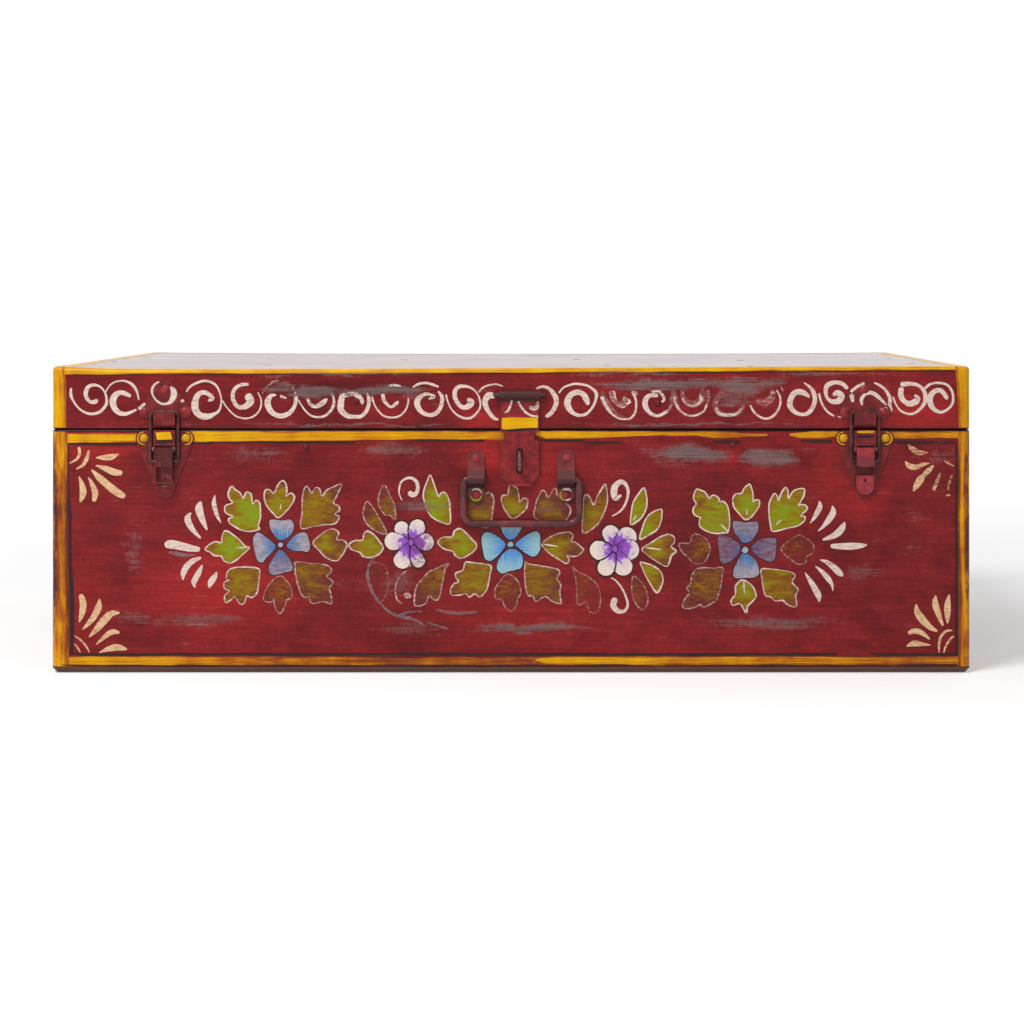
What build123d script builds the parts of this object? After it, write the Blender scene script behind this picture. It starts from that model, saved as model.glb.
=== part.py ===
from build123d import *
from math import sqrt
import os

os.makedirs("parts", exist_ok=True)

# A sheet-steel trunk in millimetres: +Z up, the front looks along -Y, the origin is the middle of the underside.
# "proud" is a distance out of the front face (or the back face), and u a distance from a fitting's own middle.

# Trunk
length = 762.0
depth = 457.2
height = 254.0
half_depth = depth / 2
sheet = 0.8
corner_radius = 6.0
seam_height = 201.5
seam_gap = 0.2
bead_height = 3.0
bead_width = 2.5
bead_round = 1.3
lid_top_round = 3.2
bottom_edge_height = 5.0
bottom_edge_bevel = 3.6

# Band inside the rim, which the lid drops over
band_sheet = 1.0
band_bottom = 181.0
band_top = 212.0
band_shelf = 0.8
band_clearance = 1.0

# Rivets
shank_radius = 1.6
head_height = 1.7
tail_height = 1.0
tail_share = 0.8
large_head = 3.6
small_head = 2.6
fit_gap = 0.06

# Toggle latches
latch_middles = {"left": -286.7, "right": 293.0}
plate_sheet = 1.2
lever_pivot = (5.5, 185.5)
loop_pivot = (3.9, 175.5)
hook_bar = (2.75, 216.5)
lever_half_width = 7.15
lever_sheet = 1.0
lever_front = 7.5
lever_back = 1.8
lever_top = 187.0
lever_web_bottom = 171.2
lever_lip = (5.9, 157.4)
lever_lip_radius = 1.3
tab_proud = 3.4
tab_top = 164.0
tab_middle = 155.1
tab_hole_z = 159.8
tab_hole_radius = 1.2
ear_inside = 7.5
ear_outside = 8.8
ear_round = 2.6
centre_top = 201.2
centre_bottom = 188.6
centre_front = 4.6
lever_pin_radius = 1.3
lever_pin_head = 2.0
lever_pin_half = 9.5
loop_wire = 1.3
loop_half_width = 11.4
loop_end = 5.5
base_rivet_u = 17.3
base_rivet_z = 194.4
base_foot_z = 152.0
base_lobe = 6.4
base_foot_lobe = 7.2
catch_rivet_u = 16.6
catch_rivet_z = 216.5
catch_head_z = 235.0
catch_lobe = 5.2
catch_head_lobe = 9.6
hook_half_width = 8.9
hook_bottom = 203.4
hook_seat = 214.6
hook_lip = 216.0

# Hasp and staple
hasp_middle = 7.3
hasp_sheet = 1.6
hasp_proud = 1.4
hasp_barrel = (4.1, 230.5)
hasp_barrel_radius = 3.5
hasp_barrel_half = 17.3
hanger_wire = 1.8
hanger_half_width = 20.5
hanger_clinch = 8.5
hanger_inside = 3.2
hasp_half_width = 15.9
hasp_neck_half_width = 12.1
hasp_neck_top = 200.0
hasp_neck_bottom = 192.0
hasp_taper_top = 163.4
hasp_lip_top = 157.0
hasp_lip_half_width = 9.7
hasp_lip_front = 5.6
hasp_slot_width = 6.0
hasp_slot_low = 164.7
hasp_slot_high = 186.3
staple_rod = 1.7
staple_low = 168.1
staple_high = 183.0
staple_reach = 14.0
staple_bend = 5.5
washer_radius = 5.5
washer_sheet = 1.2
rod_end = 1.2

# Bail handle
handle_middle = 8.5
handle_rod = 3.0
handle_half_width = 47.8
handle_pivot = (4.7, 160.5)
handle_drop = 36.5
handle_top_bend = 3.4
handle_low_bend = 9.0
clip_offset = 37.4
clip_half_width = 7.0
clip_sheet = 1.5
clip_middles = {"left": handle_middle - clip_offset, "right": handle_middle + clip_offset}
clip_top = 184.6
clip_bottom = 142.2
clip_rivet_zs = (177.6, 147.6)
clip_arch_top = 172.5
clip_arch_bottom = 151.6
clip_bore = handle_rod + 0.1

# Hinges at the back
hinge_middles = {"left": -252.0, "right": 252.0}
hinge_half_width = 32.0
hinge_sheet = 1.2
hinge_leaf_height = 26.0
hinge_proud = 3.7
knuckle_radius = 3.5
knuckle_count = 5
knuckle_gap = 0.3
hinge_pin_radius = 1.6
hinge_pin_over = 0.8
hinge_rivet_us = (-22.0, 0.0, 22.0)
hinge_rivet_drop = 16.0

rim_top = seam_height - seam_gap / 2
lid_bottom = seam_height + seam_gap / 2


def face_plane(x, proud):
    """Parallel to the front: local x is u, local y is the height, and extrusions go forwards."""
    return Plane(origin=(x, -half_depth - proud, 0), x_dir=(1, 0, 0), z_dir=(0, -1, 0))


def side_plane(x):
    """Across the front: local x is the distance proud of it, local y is the height."""
    return Plane(origin=(x, -half_depth, 0), x_dir=(0, -1, 0), z_dir=(-1, 0, 0))


def back_plane(x):
    """Across the back: local x is the distance proud of it, local y is the height."""
    return Plane(origin=(x, half_depth, 0), x_dir=(0, 1, 0), z_dir=(1, 0, 0))


def level_plane(x, z):
    """Level, on the front face: local x is u, local y is the distance proud."""
    return Plane(origin=(x, -half_depth, z), x_dir=(1, 0, 0), z_dir=(0, 0, -1))


def save(builder, name):
    builder.part.label = name
    export_step(builder.part, f"parts/{name}.step")


def add_block(low, high, inset, radius, mode=Mode.ADD):
    """A block of the trunk's plan, inset all round, between two heights."""
    with BuildSketch(Plane.XY.offset(low)) as plan:
        RectangleRounded(length - 2 * inset, depth - 2 * inset, radius)
    extrude(plan.sketch, amount=high - low, mode=mode)


def drill(places, outward, radius=shank_radius):
    """Clears round shanks out of the part in hand, from the middle of the trunk out through one face."""
    for x, z in places:
        with BuildSketch(Plane(origin=(x, 0, z), x_dir=(1, 0, 0), z_dir=(0, outward, 0))) as hole:
            Circle(radius)
        extrude(hole.sketch, amount=depth, mode=Mode.SUBTRACT)


def rivet_group(places, outward, plates, head_radius, has_band=True):
    """Domed rivets through plates on the front (outward -1) or back (1), the wall and, where it is, the band."""
    dome = (head_radius**2 + head_height**2) / (2 * head_height)
    shoulder = sqrt(dome**2 - head_radius**2 / 4) - dome + head_height
    with BuildPart() as rivets:
        for x, z in places:
            grip = plates + sheet + (band_sheet if has_band and band_bottom < z < band_top else 0)
            seat = (x, outward * (half_depth + plates), z)
            with BuildSketch(Plane(origin=seat, x_dir=(1, 0, 0), z_dir=(0, 0, outward))) as section:
                with BuildLine():
                    Polyline(
                        (0, head_height),
                        (0, -grip - tail_height),
                        (head_radius * tail_share, -grip - tail_height),
                        (head_radius * tail_share, -grip),
                        (shank_radius, -grip),
                        (shank_radius, 0),
                        (head_radius, 0),
                    )
                    ThreePointArc((head_radius, 0), (head_radius / 2, shoulder), (0, head_height))
                make_face()
            revolve(section.sketch, axis=Axis(seat, (0, outward, 0)))
    return rivets


def bend_wire(plane, points, radii, wire):
    """A round wire along straight runs joined by arcs, added to the part in hand."""
    with BuildLine(plane) as path:
        FilletPolyline(*points, radius=radii)
    with BuildSketch(Plane(origin=path.line @ 0, z_dir=path.line % 0)) as section:
        Circle(wire)
    sweep(section.sketch, path=path.line)


def knuckle_spans(remainder):
    """The stretches of a hinge's barrel that belong to one leaf: even ones to the body, odd ones to the lid."""
    step = 2 * hinge_half_width / knuckle_count
    for index in range(knuckle_count):
        if index % 2 == remainder:
            low = -hinge_half_width + index * step
            yield low + knuckle_gap / 2, low + step - knuckle_gap / 2


base_places, catch_places, clip_places = {}, {}, {}
for side, x in latch_middles.items():
    base_places[side] = [(x - base_rivet_u, base_rivet_z), (x + base_rivet_u, base_rivet_z), (x, base_foot_z)]
    catch_places[side] = [(x - catch_rivet_u, catch_rivet_z), (x + catch_rivet_u, catch_rivet_z), (x, catch_head_z)]
for side, x in clip_middles.items():
    clip_places[side] = [(x, z) for z in clip_rivet_zs]
band_places = [(-169.6, 187.5), (183.8, 188.8)]
lid_places = [(-127.8, 225.1), (121.7, 223.2)]
hinge_xs = [x + u for x in hinge_middles.values() for u in hinge_rivet_us]
hinge_body_places = [(x, seam_height - hinge_rivet_drop) for x in hinge_xs]
hinge_lid_places = [(x, seam_height + hinge_rivet_drop) for x in hinge_xs]
staple_places = [(hasp_middle, staple_low), (hasp_middle, staple_high)]
hanger_places = [(hasp_middle + u, hasp_barrel[1]) for u in (-hanger_half_width, hanger_half_width)]


# Walls: one folded sheet with its top edge rolled inwards
with BuildPart() as body_shell:
    add_block(bottom_edge_height, rim_top, 0, corner_radius)
    fillet(body_shell.edges().group_by(Axis.Z)[-1], bead_round)
    add_block(bottom_edge_height, rim_top - bead_height, sheet, corner_radius - sheet, Mode.SUBTRACT)
    add_block(rim_top - bead_height, rim_top, bead_width, corner_radius - bead_width, Mode.SUBTRACT)
    drill(sum(base_places.values(), []) + sum(clip_places.values(), []) + band_places, -1)
    drill(hinge_body_places, 1)
    drill(staple_places, -1, staple_rod + fit_gap)
save(body_shell, "body_shell")

# Bottom: a sheet with bevelled, upturned edges, seamed under the walls
with BuildPart() as bottom_plate:
    add_block(0, bottom_edge_height, 0, corner_radius)
    chamfer(bottom_plate.edges().group_by(Axis.Z)[0], bottom_edge_bevel)
    offset(amount=-sheet, openings=bottom_plate.faces().sort_by(Axis.Z)[-1])
save(bottom_plate, "bottom_plate")

# Band: flat against the wall below, a shelf under the rolled rim, and an upstand that the lid drops over
with BuildPart() as rim_band:
    upstand_inset = bead_width + band_clearance
    shelf_top = rim_top - bead_height
    add_block(band_bottom, shelf_top, sheet, corner_radius - sheet)
    add_block(shelf_top, band_top, upstand_inset, corner_radius - upstand_inset)
    add_block(
        band_bottom,
        shelf_top - band_shelf,
        sheet + band_sheet,
        corner_radius - sheet - band_sheet,
        Mode.SUBTRACT,
    )
    add_block(
        shelf_top - band_shelf,
        band_top,
        upstand_inset + band_sheet,
        corner_radius - upstand_inset - band_sheet,
        Mode.SUBTRACT,
    )
    drill(sum(base_places.values(), []) + band_places, -1)
    drill(hinge_body_places, 1)
    drill(staple_places, -1, staple_rod + fit_gap)
save(rim_band, "rim_band")

# Lid: a shallow pan with rounded top edges and a rolled hem
with BuildPart() as lid_cavity:
    add_block(lid_bottom + bead_height, height - sheet, sheet, corner_radius - sheet)
    fillet(lid_cavity.edges().group_by(Axis.Z)[-1], lid_top_round - sheet)
with BuildPart() as lid_shell:
    add_block(lid_bottom, height, 0, corner_radius)
    fillet(lid_shell.edges().group_by(Axis.Z)[-1], lid_top_round)
    fillet(lid_shell.edges().group_by(Axis.Z)[0], bead_round)
    add(lid_cavity.part, mode=Mode.SUBTRACT)
    add_block(lid_bottom, lid_bottom + bead_height, bead_width, corner_radius - bead_width, Mode.SUBTRACT)
    drill(sum(catch_places.values(), []) + lid_places, -1)
    drill(hinge_lid_places, 1)
    drill(hanger_places, -1, hanger_wire + fit_gap)
save(lid_shell, "lid_shell")

# Rivets, each group in one node
groups = {
    "latch_base_rivets": rivet_group(sum(base_places.values(), []), -1, plate_sheet, large_head),
    "catch_rivets": rivet_group(sum(catch_places.values(), []), -1, plate_sheet, large_head, False),
    "clip_rivets": rivet_group(sum(clip_places.values(), []), -1, clip_sheet, large_head),
    "band_rivets": rivet_group(band_places, -1, 0, small_head),
    "lid_rivets": rivet_group(lid_places, -1, 0, small_head, False),
    "hinge_body_rivets": rivet_group(hinge_body_places, 1, hinge_sheet, large_head),
    "hinge_lid_rivets": rivet_group(hinge_lid_places, 1, hinge_sheet, large_head, False),
}
for name, group in groups.items():
    save(group, name)


def latch_base(side):
    """Plate with three lobes, a raised centre and two ears for the lever's pin."""
    x = latch_middles[side]
    with BuildPart() as base:
        with BuildSketch(face_plane(x, 0)):
            with Locations((-base_rivet_u, base_rivet_z), (base_rivet_u, base_rivet_z)):
                Circle(base_lobe)
            with Locations((0, base_foot_z)):
                Circle(base_foot_lobe)
            make_hull()
            with Locations((0, (centre_bottom + centre_top) / 2)):
                Rectangle(2 * ear_outside, centre_top - centre_bottom)
        extrude(amount=plate_sheet)
        with BuildSketch(side_plane(x)):
            Polygon(
                (plate_sheet / 2, centre_top),
                (centre_front, centre_top),
                (centre_front, lever_pivot[1] + ear_round),
                (lever_pivot[0], lever_pivot[1] + ear_round),
                (lever_pivot[0], lever_pivot[1] - ear_round),
                (plate_sheet / 2, lever_pivot[1] - ear_round - 3),
                align=None,
            )
            with Locations(lever_pivot):
                Circle(ear_round)
                Circle(lever_pin_radius + fit_gap / 3, mode=Mode.SUBTRACT)
        extrude(amount=ear_outside, both=True)
        with BuildSketch(side_plane(x)):
            with Locations(((plate_sheet + centre_front - plate_sheet) / 2, (centre_top + centre_bottom) / 2)):
                Rectangle(centre_front - 2 * plate_sheet, centre_top - centre_bottom + 2)
            with Locations(((plate_sheet + 12) / 2, centre_bottom - 10)):
                Rectangle(12 - plate_sheet, 20)
        extrude(amount=ear_inside, both=True, mode=Mode.SUBTRACT)
        drill(base_places[side], -1)
    return base


def latch_lever(side):
    """Channel that turns between the ears. The left one ends in a curled lip, the right one in a round tab."""
    x = latch_middles[side]
    tail = {
        "left": [(6.9, 162.0), (6.9, 157.4), (4.7, 157.4), (3.2, 161.5)],
        "right": [(5.4, 164.0), (4.4, 161.0), (3.4, 161.0), (2.6, 164.0)],
    }[side]
    with BuildPart() as lever:
        with BuildSketch(side_plane(x)):
            Polygon(
                (lever_back, lever_top - 1),
                (lever_back + 1, lever_top),
                (lever_front, lever_top),
                (lever_front, lever_web_bottom),
                *tail,
                (lever_back, lever_web_bottom),
                align=None,
            )
        extrude(amount=lever_half_width, both=True)
        with BuildSketch(side_plane(x)):
            with Locations(((lever_front - lever_sheet) / 2, (lever_top + 140) / 2)):
                Rectangle(lever_front - lever_sheet, lever_top - 140 + 2)
            with Locations((lever_front, lever_web_bottom - 20)):
                Rectangle(2 * lever_front, 40)
        extrude(amount=lever_half_width - lever_sheet, both=True, mode=Mode.SUBTRACT)
        if side == "left":
            with BuildSketch(side_plane(x)):
                with Locations(lever_lip):
                    Circle(lever_lip_radius)
            extrude(amount=lever_half_width, both=True)
        else:
            with BuildSketch(face_plane(x, tab_proud)):
                with Locations((0, (tab_top + tab_middle) / 2)):
                    Rectangle(2 * lever_half_width, tab_top - tab_middle)
                with Locations((0, tab_middle)):
                    Circle(lever_half_width)
                with Locations((0, tab_hole_z)):
                    Circle(tab_hole_radius, mode=Mode.SUBTRACT)
            extrude(amount=lever_sheet)
        with BuildSketch(side_plane(x)):
            with Locations(lever_pivot):
                Circle(lever_pin_radius + fit_gap)
            with Locations(loop_pivot):
                Circle(loop_wire + fit_gap)
        extrude(amount=lever_half_width, both=True, mode=Mode.SUBTRACT)
    return lever


def lever_pin(side):
    """Pin across the ears, a small head on each end."""
    with BuildPart() as pin:
        with BuildSketch(side_plane(latch_middles[side])):
            with Locations(lever_pivot):
                Circle(lever_pin_radius)
        extrude(amount=lever_pin_half, both=True)
        for u in (lever_pin_half, -ear_outside - fit_gap):
            with BuildSketch(side_plane(latch_middles[side] + u)):
                with Locations(lever_pivot):
                    Circle(lever_pin_head)
            extrude(amount=lever_pin_half - ear_outside - fit_gap)
    return pin


def latch_loop(side):
    """Bent wire from one side of the lever over the catch's hook to the other."""
    x = latch_middles[side]
    start = Vector(x, -half_depth - loop_pivot[0], loop_pivot[1])
    bar = Vector(x, -half_depth - hook_bar[0], hook_bar[1])
    reach = (bar - start).length
    rise = (bar - start).normalized()
    plane = Plane(origin=start, x_dir=(1, 0, 0), z_dir=Vector(1, 0, 0).cross(rise))
    points = [
        (-loop_end, 0),
        (-loop_half_width, 0),
        (-loop_half_width, reach),
        (loop_half_width, reach),
        (loop_half_width, 0),
        (loop_end, 0),
    ]
    with BuildPart() as loop:
        bend_wire(plane, points, [2.4, 4.0, 4.0, 2.4], loop_wire)
    return loop


def latch_catch(side):
    """Rounded triangle on the lid with a hollow hook, open upwards for the loop."""
    x = latch_middles[side]
    with BuildPart() as catch:
        with BuildSketch(face_plane(x, 0)):
            with Locations((-catch_rivet_u, catch_rivet_z), (catch_rivet_u, catch_rivet_z)):
                Circle(catch_lobe)
            with Locations((0, catch_head_z - 2.2)):
                Circle(catch_head_lobe)
            make_hull()
            with Locations((0, (hook_bottom + catch_rivet_z) / 2)):
                Rectangle(2 * hook_half_width, catch_rivet_z - hook_bottom)
        extrude(amount=plate_sheet)
        with BuildSketch(side_plane(x)):
            Polygon(
                (plate_sheet / 2, hook_bottom),
                (1.8, hook_bottom),
                (4.6, 205.0),
                (5.5, 206.6),
                (5.5, hook_lip),
                (4.4, hook_lip),
                (4.4, hook_seat),
                (plate_sheet / 2, hook_seat),
                align=None,
            )
            Polygon(
                (plate_sheet, 204.6),
                (3.6, 205.8),
                (4.4, 207.0),
                (4.4, hook_seat - 1.1),
                (plate_sheet, hook_seat - 1.1),
                align=None,
                mode=Mode.SUBTRACT,
            )
        extrude(amount=hook_half_width, both=True)
        drill(catch_places[side], -1)
    return catch


def hinge_leaf(side, is_lid):
    """Leaf with its share of the barrel. The lid's leaf stands above the seam, the body's hangs below it."""
    x = hinge_middles[side]
    sign = 1 if is_lid else -1
    plate_near = seam_height + sign * (knuckle_radius + knuckle_gap)
    plate_far = seam_height + sign * hinge_leaf_height
    with BuildPart() as leaf:
        with BuildSketch(back_plane(x)):
            with Locations((hinge_sheet / 2, (plate_near + plate_far) / 2)):
                Rectangle(hinge_sheet, abs(plate_far - plate_near))
        extrude(amount=hinge_half_width, both=True)
        for low, high in knuckle_spans(1 if is_lid else 0):
            with BuildSketch(back_plane(x + low)):
                with Locations((hinge_sheet / 2, (plate_near + seam_height) / 2)):
                    Rectangle(hinge_sheet, abs(plate_near - seam_height))
                with Locations((hinge_proud, seam_height)):
                    Circle(knuckle_radius)
            extrude(amount=high - low)
        with BuildSketch(back_plane(x)):
            with Locations((hinge_proud, seam_height)):
                Circle(hinge_pin_radius + (fit_gap if is_lid else fit_gap / 3))
        extrude(amount=hinge_half_width, both=True, mode=Mode.SUBTRACT)
        drill([place for place in hinge_lid_places + hinge_body_places if abs(place[0] - x) < hinge_half_width], 1)
    return leaf


def hinge_pin(side):
    """Pin through the barrel."""
    with BuildPart() as pin:
        with BuildSketch(back_plane(hinge_middles[side])):
            with Locations((hinge_proud, seam_height)):
                Circle(hinge_pin_radius)
        extrude(amount=hinge_half_width + hinge_pin_over, both=True)
    return pin


def handle_clip(side):
    """Strap over the bail's end, riveted above and below."""
    x = clip_middles[side]
    arch_middle = (clip_arch_top + clip_arch_bottom) / 2
    arch_height = clip_arch_top - clip_arch_bottom
    with BuildPart() as clip:
        with BuildSketch(side_plane(x)):
            with Locations(handle_pivot):
                Circle(clip_bore + clip_sheet)
            with Locations((clip_sheet / 2, arch_middle)):
                Rectangle(clip_sheet, arch_height - 2 * clip_sheet)
            make_hull()
            with Locations((clip_sheet / 2, (clip_top + clip_bottom) / 2)):
                Rectangle(clip_sheet, clip_top - clip_bottom)
        extrude(amount=clip_half_width, both=True)
        with BuildSketch(side_plane(x)):
            with Locations(handle_pivot):
                Circle(clip_bore)
            with Locations((-clip_sheet / 2, arch_middle)):
                Rectangle(clip_sheet, arch_height - 2 * clip_sheet)
            make_hull()
        extrude(amount=clip_half_width, both=True, mode=Mode.SUBTRACT)
        corners = clip.edges().filter_by(Axis.Y)
        fillet(corners.group_by(Axis.Z)[-1] + corners.group_by(Axis.Z)[0], clip_half_width - 2)
        drill(clip_places[side], -1)
    return clip


for side in ("left", "right"):
    save(latch_base(side), f"latch_base_{side}")
    save(latch_lever(side), f"latch_lever_{side}")
    save(lever_pin(side), f"lever_pin_{side}")
    save(latch_loop(side), f"latch_loop_{side}")
    save(latch_catch(side), f"latch_catch_{side}")
    save(hinge_leaf(side, False), f"hinge_body_leaf_{side}")
    save(hinge_leaf(side, True), f"hinge_lid_leaf_{side}")
    save(hinge_pin(side), f"hinge_pin_{side}")
    save(handle_clip(side), f"handle_clip_{side}")

# Hasp: a plate rolled round the hanger, necked, slotted for the staple and turned out at the foot
with BuildPart() as hasp_plate:
    with BuildSketch(face_plane(hasp_middle, hasp_proud)):
        right_side = [
            (hasp_half_width, hasp_barrel[1]),
            (hasp_half_width, hasp_neck_top),
            (hasp_neck_half_width, hasp_neck_top - 1),
            (hasp_neck_half_width, hasp_neck_bottom + 1),
            (hasp_half_width, hasp_neck_bottom),
            (hasp_half_width, hasp_taper_top),
            (hasp_lip_half_width, hasp_lip_top),
            (hasp_lip_half_width, hasp_lip_top - hasp_sheet),
        ]
        Polygon(*right_side, *[(-u, z) for u, z in reversed(right_side)], align=None)
        with Locations((0, (hasp_slot_low + hasp_slot_high) / 2)):
            SlotOverall(hasp_slot_high - hasp_slot_low, hasp_slot_width, rotation=90, mode=Mode.SUBTRACT)
    extrude(amount=hasp_sheet)
    with BuildSketch(side_plane(hasp_middle)):
        with Locations(((hasp_proud + hasp_lip_front) / 2, hasp_lip_top - hasp_sheet / 2)):
            Rectangle(hasp_lip_front - hasp_proud, hasp_sheet)
    extrude(amount=hasp_lip_half_width, both=True)
    with BuildSketch(side_plane(hasp_middle)):
        with Locations(hasp_barrel):
            Circle(hasp_barrel_radius)
    extrude(amount=hasp_barrel_half, both=True)
    with BuildSketch(side_plane(hasp_middle)):
        with Locations(hasp_barrel):
            Circle(hanger_wire + fit_gap)
    extrude(amount=hasp_barrel_half, both=True, mode=Mode.SUBTRACT)
save(hasp_plate, "hasp_plate")

# Hanger: the wire in the hasp's barrel, its ends through the lid and clinched outwards
with BuildPart() as hasp_hanger:
    clinch = hanger_half_width + hanger_clinch
    bend_wire(
        level_plane(hasp_middle, hasp_barrel[1]),
        [
            (-clinch, -hanger_inside),
            (-hanger_half_width, -hanger_inside),
            (-hanger_half_width, hasp_barrel[0]),
            (hanger_half_width, hasp_barrel[0]),
            (hanger_half_width, -hanger_inside),
            (clinch, -hanger_inside),
        ],
        [2.4, 2.6, 2.6, 2.4],
        hanger_wire,
    )
save(hasp_hanger, "hasp_hanger")

# Staple: the padlock's eye, its legs through the wall, the band at the upper one, and a washer each
with BuildPart() as staple:
    front_run = staple_reach - staple_rod
    bend_wire(
        side_plane(hasp_middle),
        [
            (-sheet - washer_sheet - rod_end, staple_low),
            (front_run, staple_low),
            (front_run, staple_high),
            (-sheet - band_sheet - washer_sheet - rod_end, staple_high),
        ],
        [staple_bend, staple_bend],
        staple_rod,
    )
save(staple, "staple")

with BuildPart() as staple_washers:
    for inside, z in ((sheet, staple_low), (sheet + band_sheet, staple_high)):
        with BuildSketch(face_plane(hasp_middle, -inside - washer_sheet)):
            with Locations((0, z)):
                Circle(washer_radius)
                Circle(staple_rod + fit_gap, mode=Mode.SUBTRACT)
        extrude(amount=washer_sheet)
save(staple_washers, "staple_washers")

# Bail: one rod, its ends turned in under the clips
with BuildPart() as handle_bail:
    end = clip_offset - clip_half_width + 1
    low = -handle_drop
    bail_plane = Plane(
        origin=(handle_middle, -half_depth - handle_pivot[0], handle_pivot[1]),
        x_dir=(1, 0, 0),
        z_dir=(0, -1, 0),
    )
    bend_wire(
        bail_plane,
        [
            (-end, 0),
            (-handle_half_width, 0),
            (-handle_half_width, low),
            (handle_half_width, low),
            (handle_half_width, 0),
            (end, 0),
        ],
        [handle_top_bend, handle_low_bend, handle_low_bend, handle_top_bend],
        handle_rod,
    )
save(handle_bail, "handle_bail")
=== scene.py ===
import math
from functools import partial

import bmesh
import bpy
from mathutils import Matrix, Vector, geometry, noise


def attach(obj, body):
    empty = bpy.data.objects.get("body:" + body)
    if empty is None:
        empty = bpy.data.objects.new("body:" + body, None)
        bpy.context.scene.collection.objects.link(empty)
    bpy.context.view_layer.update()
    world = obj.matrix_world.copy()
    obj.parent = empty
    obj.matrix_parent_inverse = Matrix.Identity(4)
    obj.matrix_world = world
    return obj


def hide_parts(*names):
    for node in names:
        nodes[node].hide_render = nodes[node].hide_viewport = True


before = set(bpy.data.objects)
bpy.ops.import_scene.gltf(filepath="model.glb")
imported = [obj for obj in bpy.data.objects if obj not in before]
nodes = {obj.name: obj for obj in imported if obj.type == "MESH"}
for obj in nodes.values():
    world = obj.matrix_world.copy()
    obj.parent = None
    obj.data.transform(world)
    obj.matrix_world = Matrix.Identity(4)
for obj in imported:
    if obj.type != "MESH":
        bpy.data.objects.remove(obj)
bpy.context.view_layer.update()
print("frame loaded:", len(nodes), "nodes")

mm = 0.001
scene = bpy.context.scene
scene.view_settings.view_transform = "Standard"

# The camera stands level, a little right of the middle, and looks straight at the front
view = {"lens": 78.0, "sensor": 36.0, "place": (0.0365, -2.0676, 0.3123), "shift": (-0.042, -0.211), "reach": 60}
camera = bpy.data.objects.new("camera", bpy.data.cameras.new("camera"))
camera.data.lens = view["lens"]
camera.data.sensor_width = view["sensor"]
camera.data.shift_x, camera.data.shift_y = view["shift"]
camera.data.clip_end = view["reach"]
camera.location = view["place"]
camera.rotation_euler = (math.radians(90), 0, 0)
scene.collection.objects.link(camera)
scene.camera = camera


def linear(hexCode):
    parts = [int(hexCode[i : i + 2], 16) / 255 for i in (1, 3, 5)]
    return (*[p / 12.92 if p <= 0.04045 else ((p + 0.055) / 1.055) ** 2.4 for p in parts], 1.0)


# A socket by its place, by its name, or the main one: the first that the node's settings leave in use
def pick(sockets, name=None):
    if isinstance(name, int):
        return sockets[name]
    return next(socket for socket in sockets if socket.enabled and name in (None, socket.name))


# Joins a node's sockets to others; a source that is a node gives its main output
def join(node, links):
    for name, source in links.items():
        if isinstance(source, bpy.types.Node):
            source = pick(source.outputs)
        node.id_data.links.new(source, pick(node.inputs, name))


# Adds one node: settings are its properties, values its loose sockets, links its joined ones
def addNode(tree, kind, links=None, values=None, **settings):
    node = tree.nodes.new("ShaderNode" + kind)
    if kind == "Mix":
        node.data_type = "RGBA"  # every mix here is one of colours
    for name, value in settings.items():
        setattr(node, name, value)
    for name, value in (values or {}).items():
        pick(node.inputs, name).default_value = value
    join(node, links or {})
    return node


# The two ends that a range is read between, and what they become
def limits(low, high, first=0.0, last=1.0):
    return {"From Min": low, "From Max": high, "To Min": first, "To Max": last}


def tones(one, other):
    return {"A": linear(one), "B": linear(other)}


# An empty material, and addNode for its own nodes
def startMaterial(name):
    material = bpy.data.materials.new(name)
    material.use_nodes = True
    material.node_tree.nodes.clear()
    return material, partial(addNode, material.node_tree)


# 1 for what the camera sees straight on or in metal and glass, 0 for the light that falls on things
def seenDirectly(add):
    rays = add("LightPath").outputs
    seen = rays["Is Camera Ray"]
    for ray in ("Is Glossy Ray", "Is Transmission Ray"):
        seen = add("Math", {0: seen, 1: rays[ray]}, operation="MAXIMUM")
    return seen


# ---- stage and light: a pale floor, one broad lamp high on the left, an even pale room
stageLook = {"floorHalf": 9.0, "floorDepth": -0.0004, "paper": (0.8, 0.8, 0.8, 1), "white": (1, 1, 1, 1), "room": 0.5}
stageLook.update({"glowNear": 0.3, "glowFar": 0.64, "lampPlace": (-1.0, -1.5, 2.2), "lampAim": (0, 0, 0.1)})
stageLook.update({"lampSize": 1.1, "lampWatts": 44.0})
world = bpy.data.worlds.new("paleRoom")
world.use_nodes = True
scene.world = world
world.node_tree.nodes.clear()
add = partial(addNode, world.node_tree)
level = add("MapRange", {"Value": seenDirectly(add)}, limits(0, 1, stageLook["room"], 1))
air = add("Background", {"Strength": level}, {"Color": stageLook["white"]})
add("OutputWorld", {"Surface": air})

floorHalf = stageLook["floorHalf"]
floorMesh = bpy.data.meshes.new("studioFloor")
corners = [(-1, -1), (1, -1), (1, 1), (-1, 1)]
floorPoints = [(x * floorHalf, y * floorHalf, stageLook["floorDepth"]) for x, y in corners]
floorMesh.from_pydata(floorPoints, [], [(0, 1, 2, 3)])
floor = bpy.data.objects.new("studioFloor", floorMesh)
scene.collection.objects.link(floor)
paper, add = startMaterial("mattPaperSweep")
# the paper glows more far off, where the lamp doesn't reach, so it stays white up to the horizon
away = add("VectorMath", {0: add("TexCoord").outputs["Object"]}, operation="LENGTH")
glow = add("MapRange", {"Value": away}, limits(0.7, 2.2, stageLook["glowNear"], stageLook["glowFar"]))
glow = add("Math", {0: seenDirectly(add), 1: glow}, operation="MULTIPLY")
matt = add("BsdfDiffuse", values={"Color": stageLook["paper"]})
lit = add("Emission", {"Strength": glow}, {"Color": stageLook["white"]})
add("OutputMaterial", {"Surface": add("AddShader", {0: matt, 1: lit})})
floorMesh.materials.append(paper)

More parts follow.
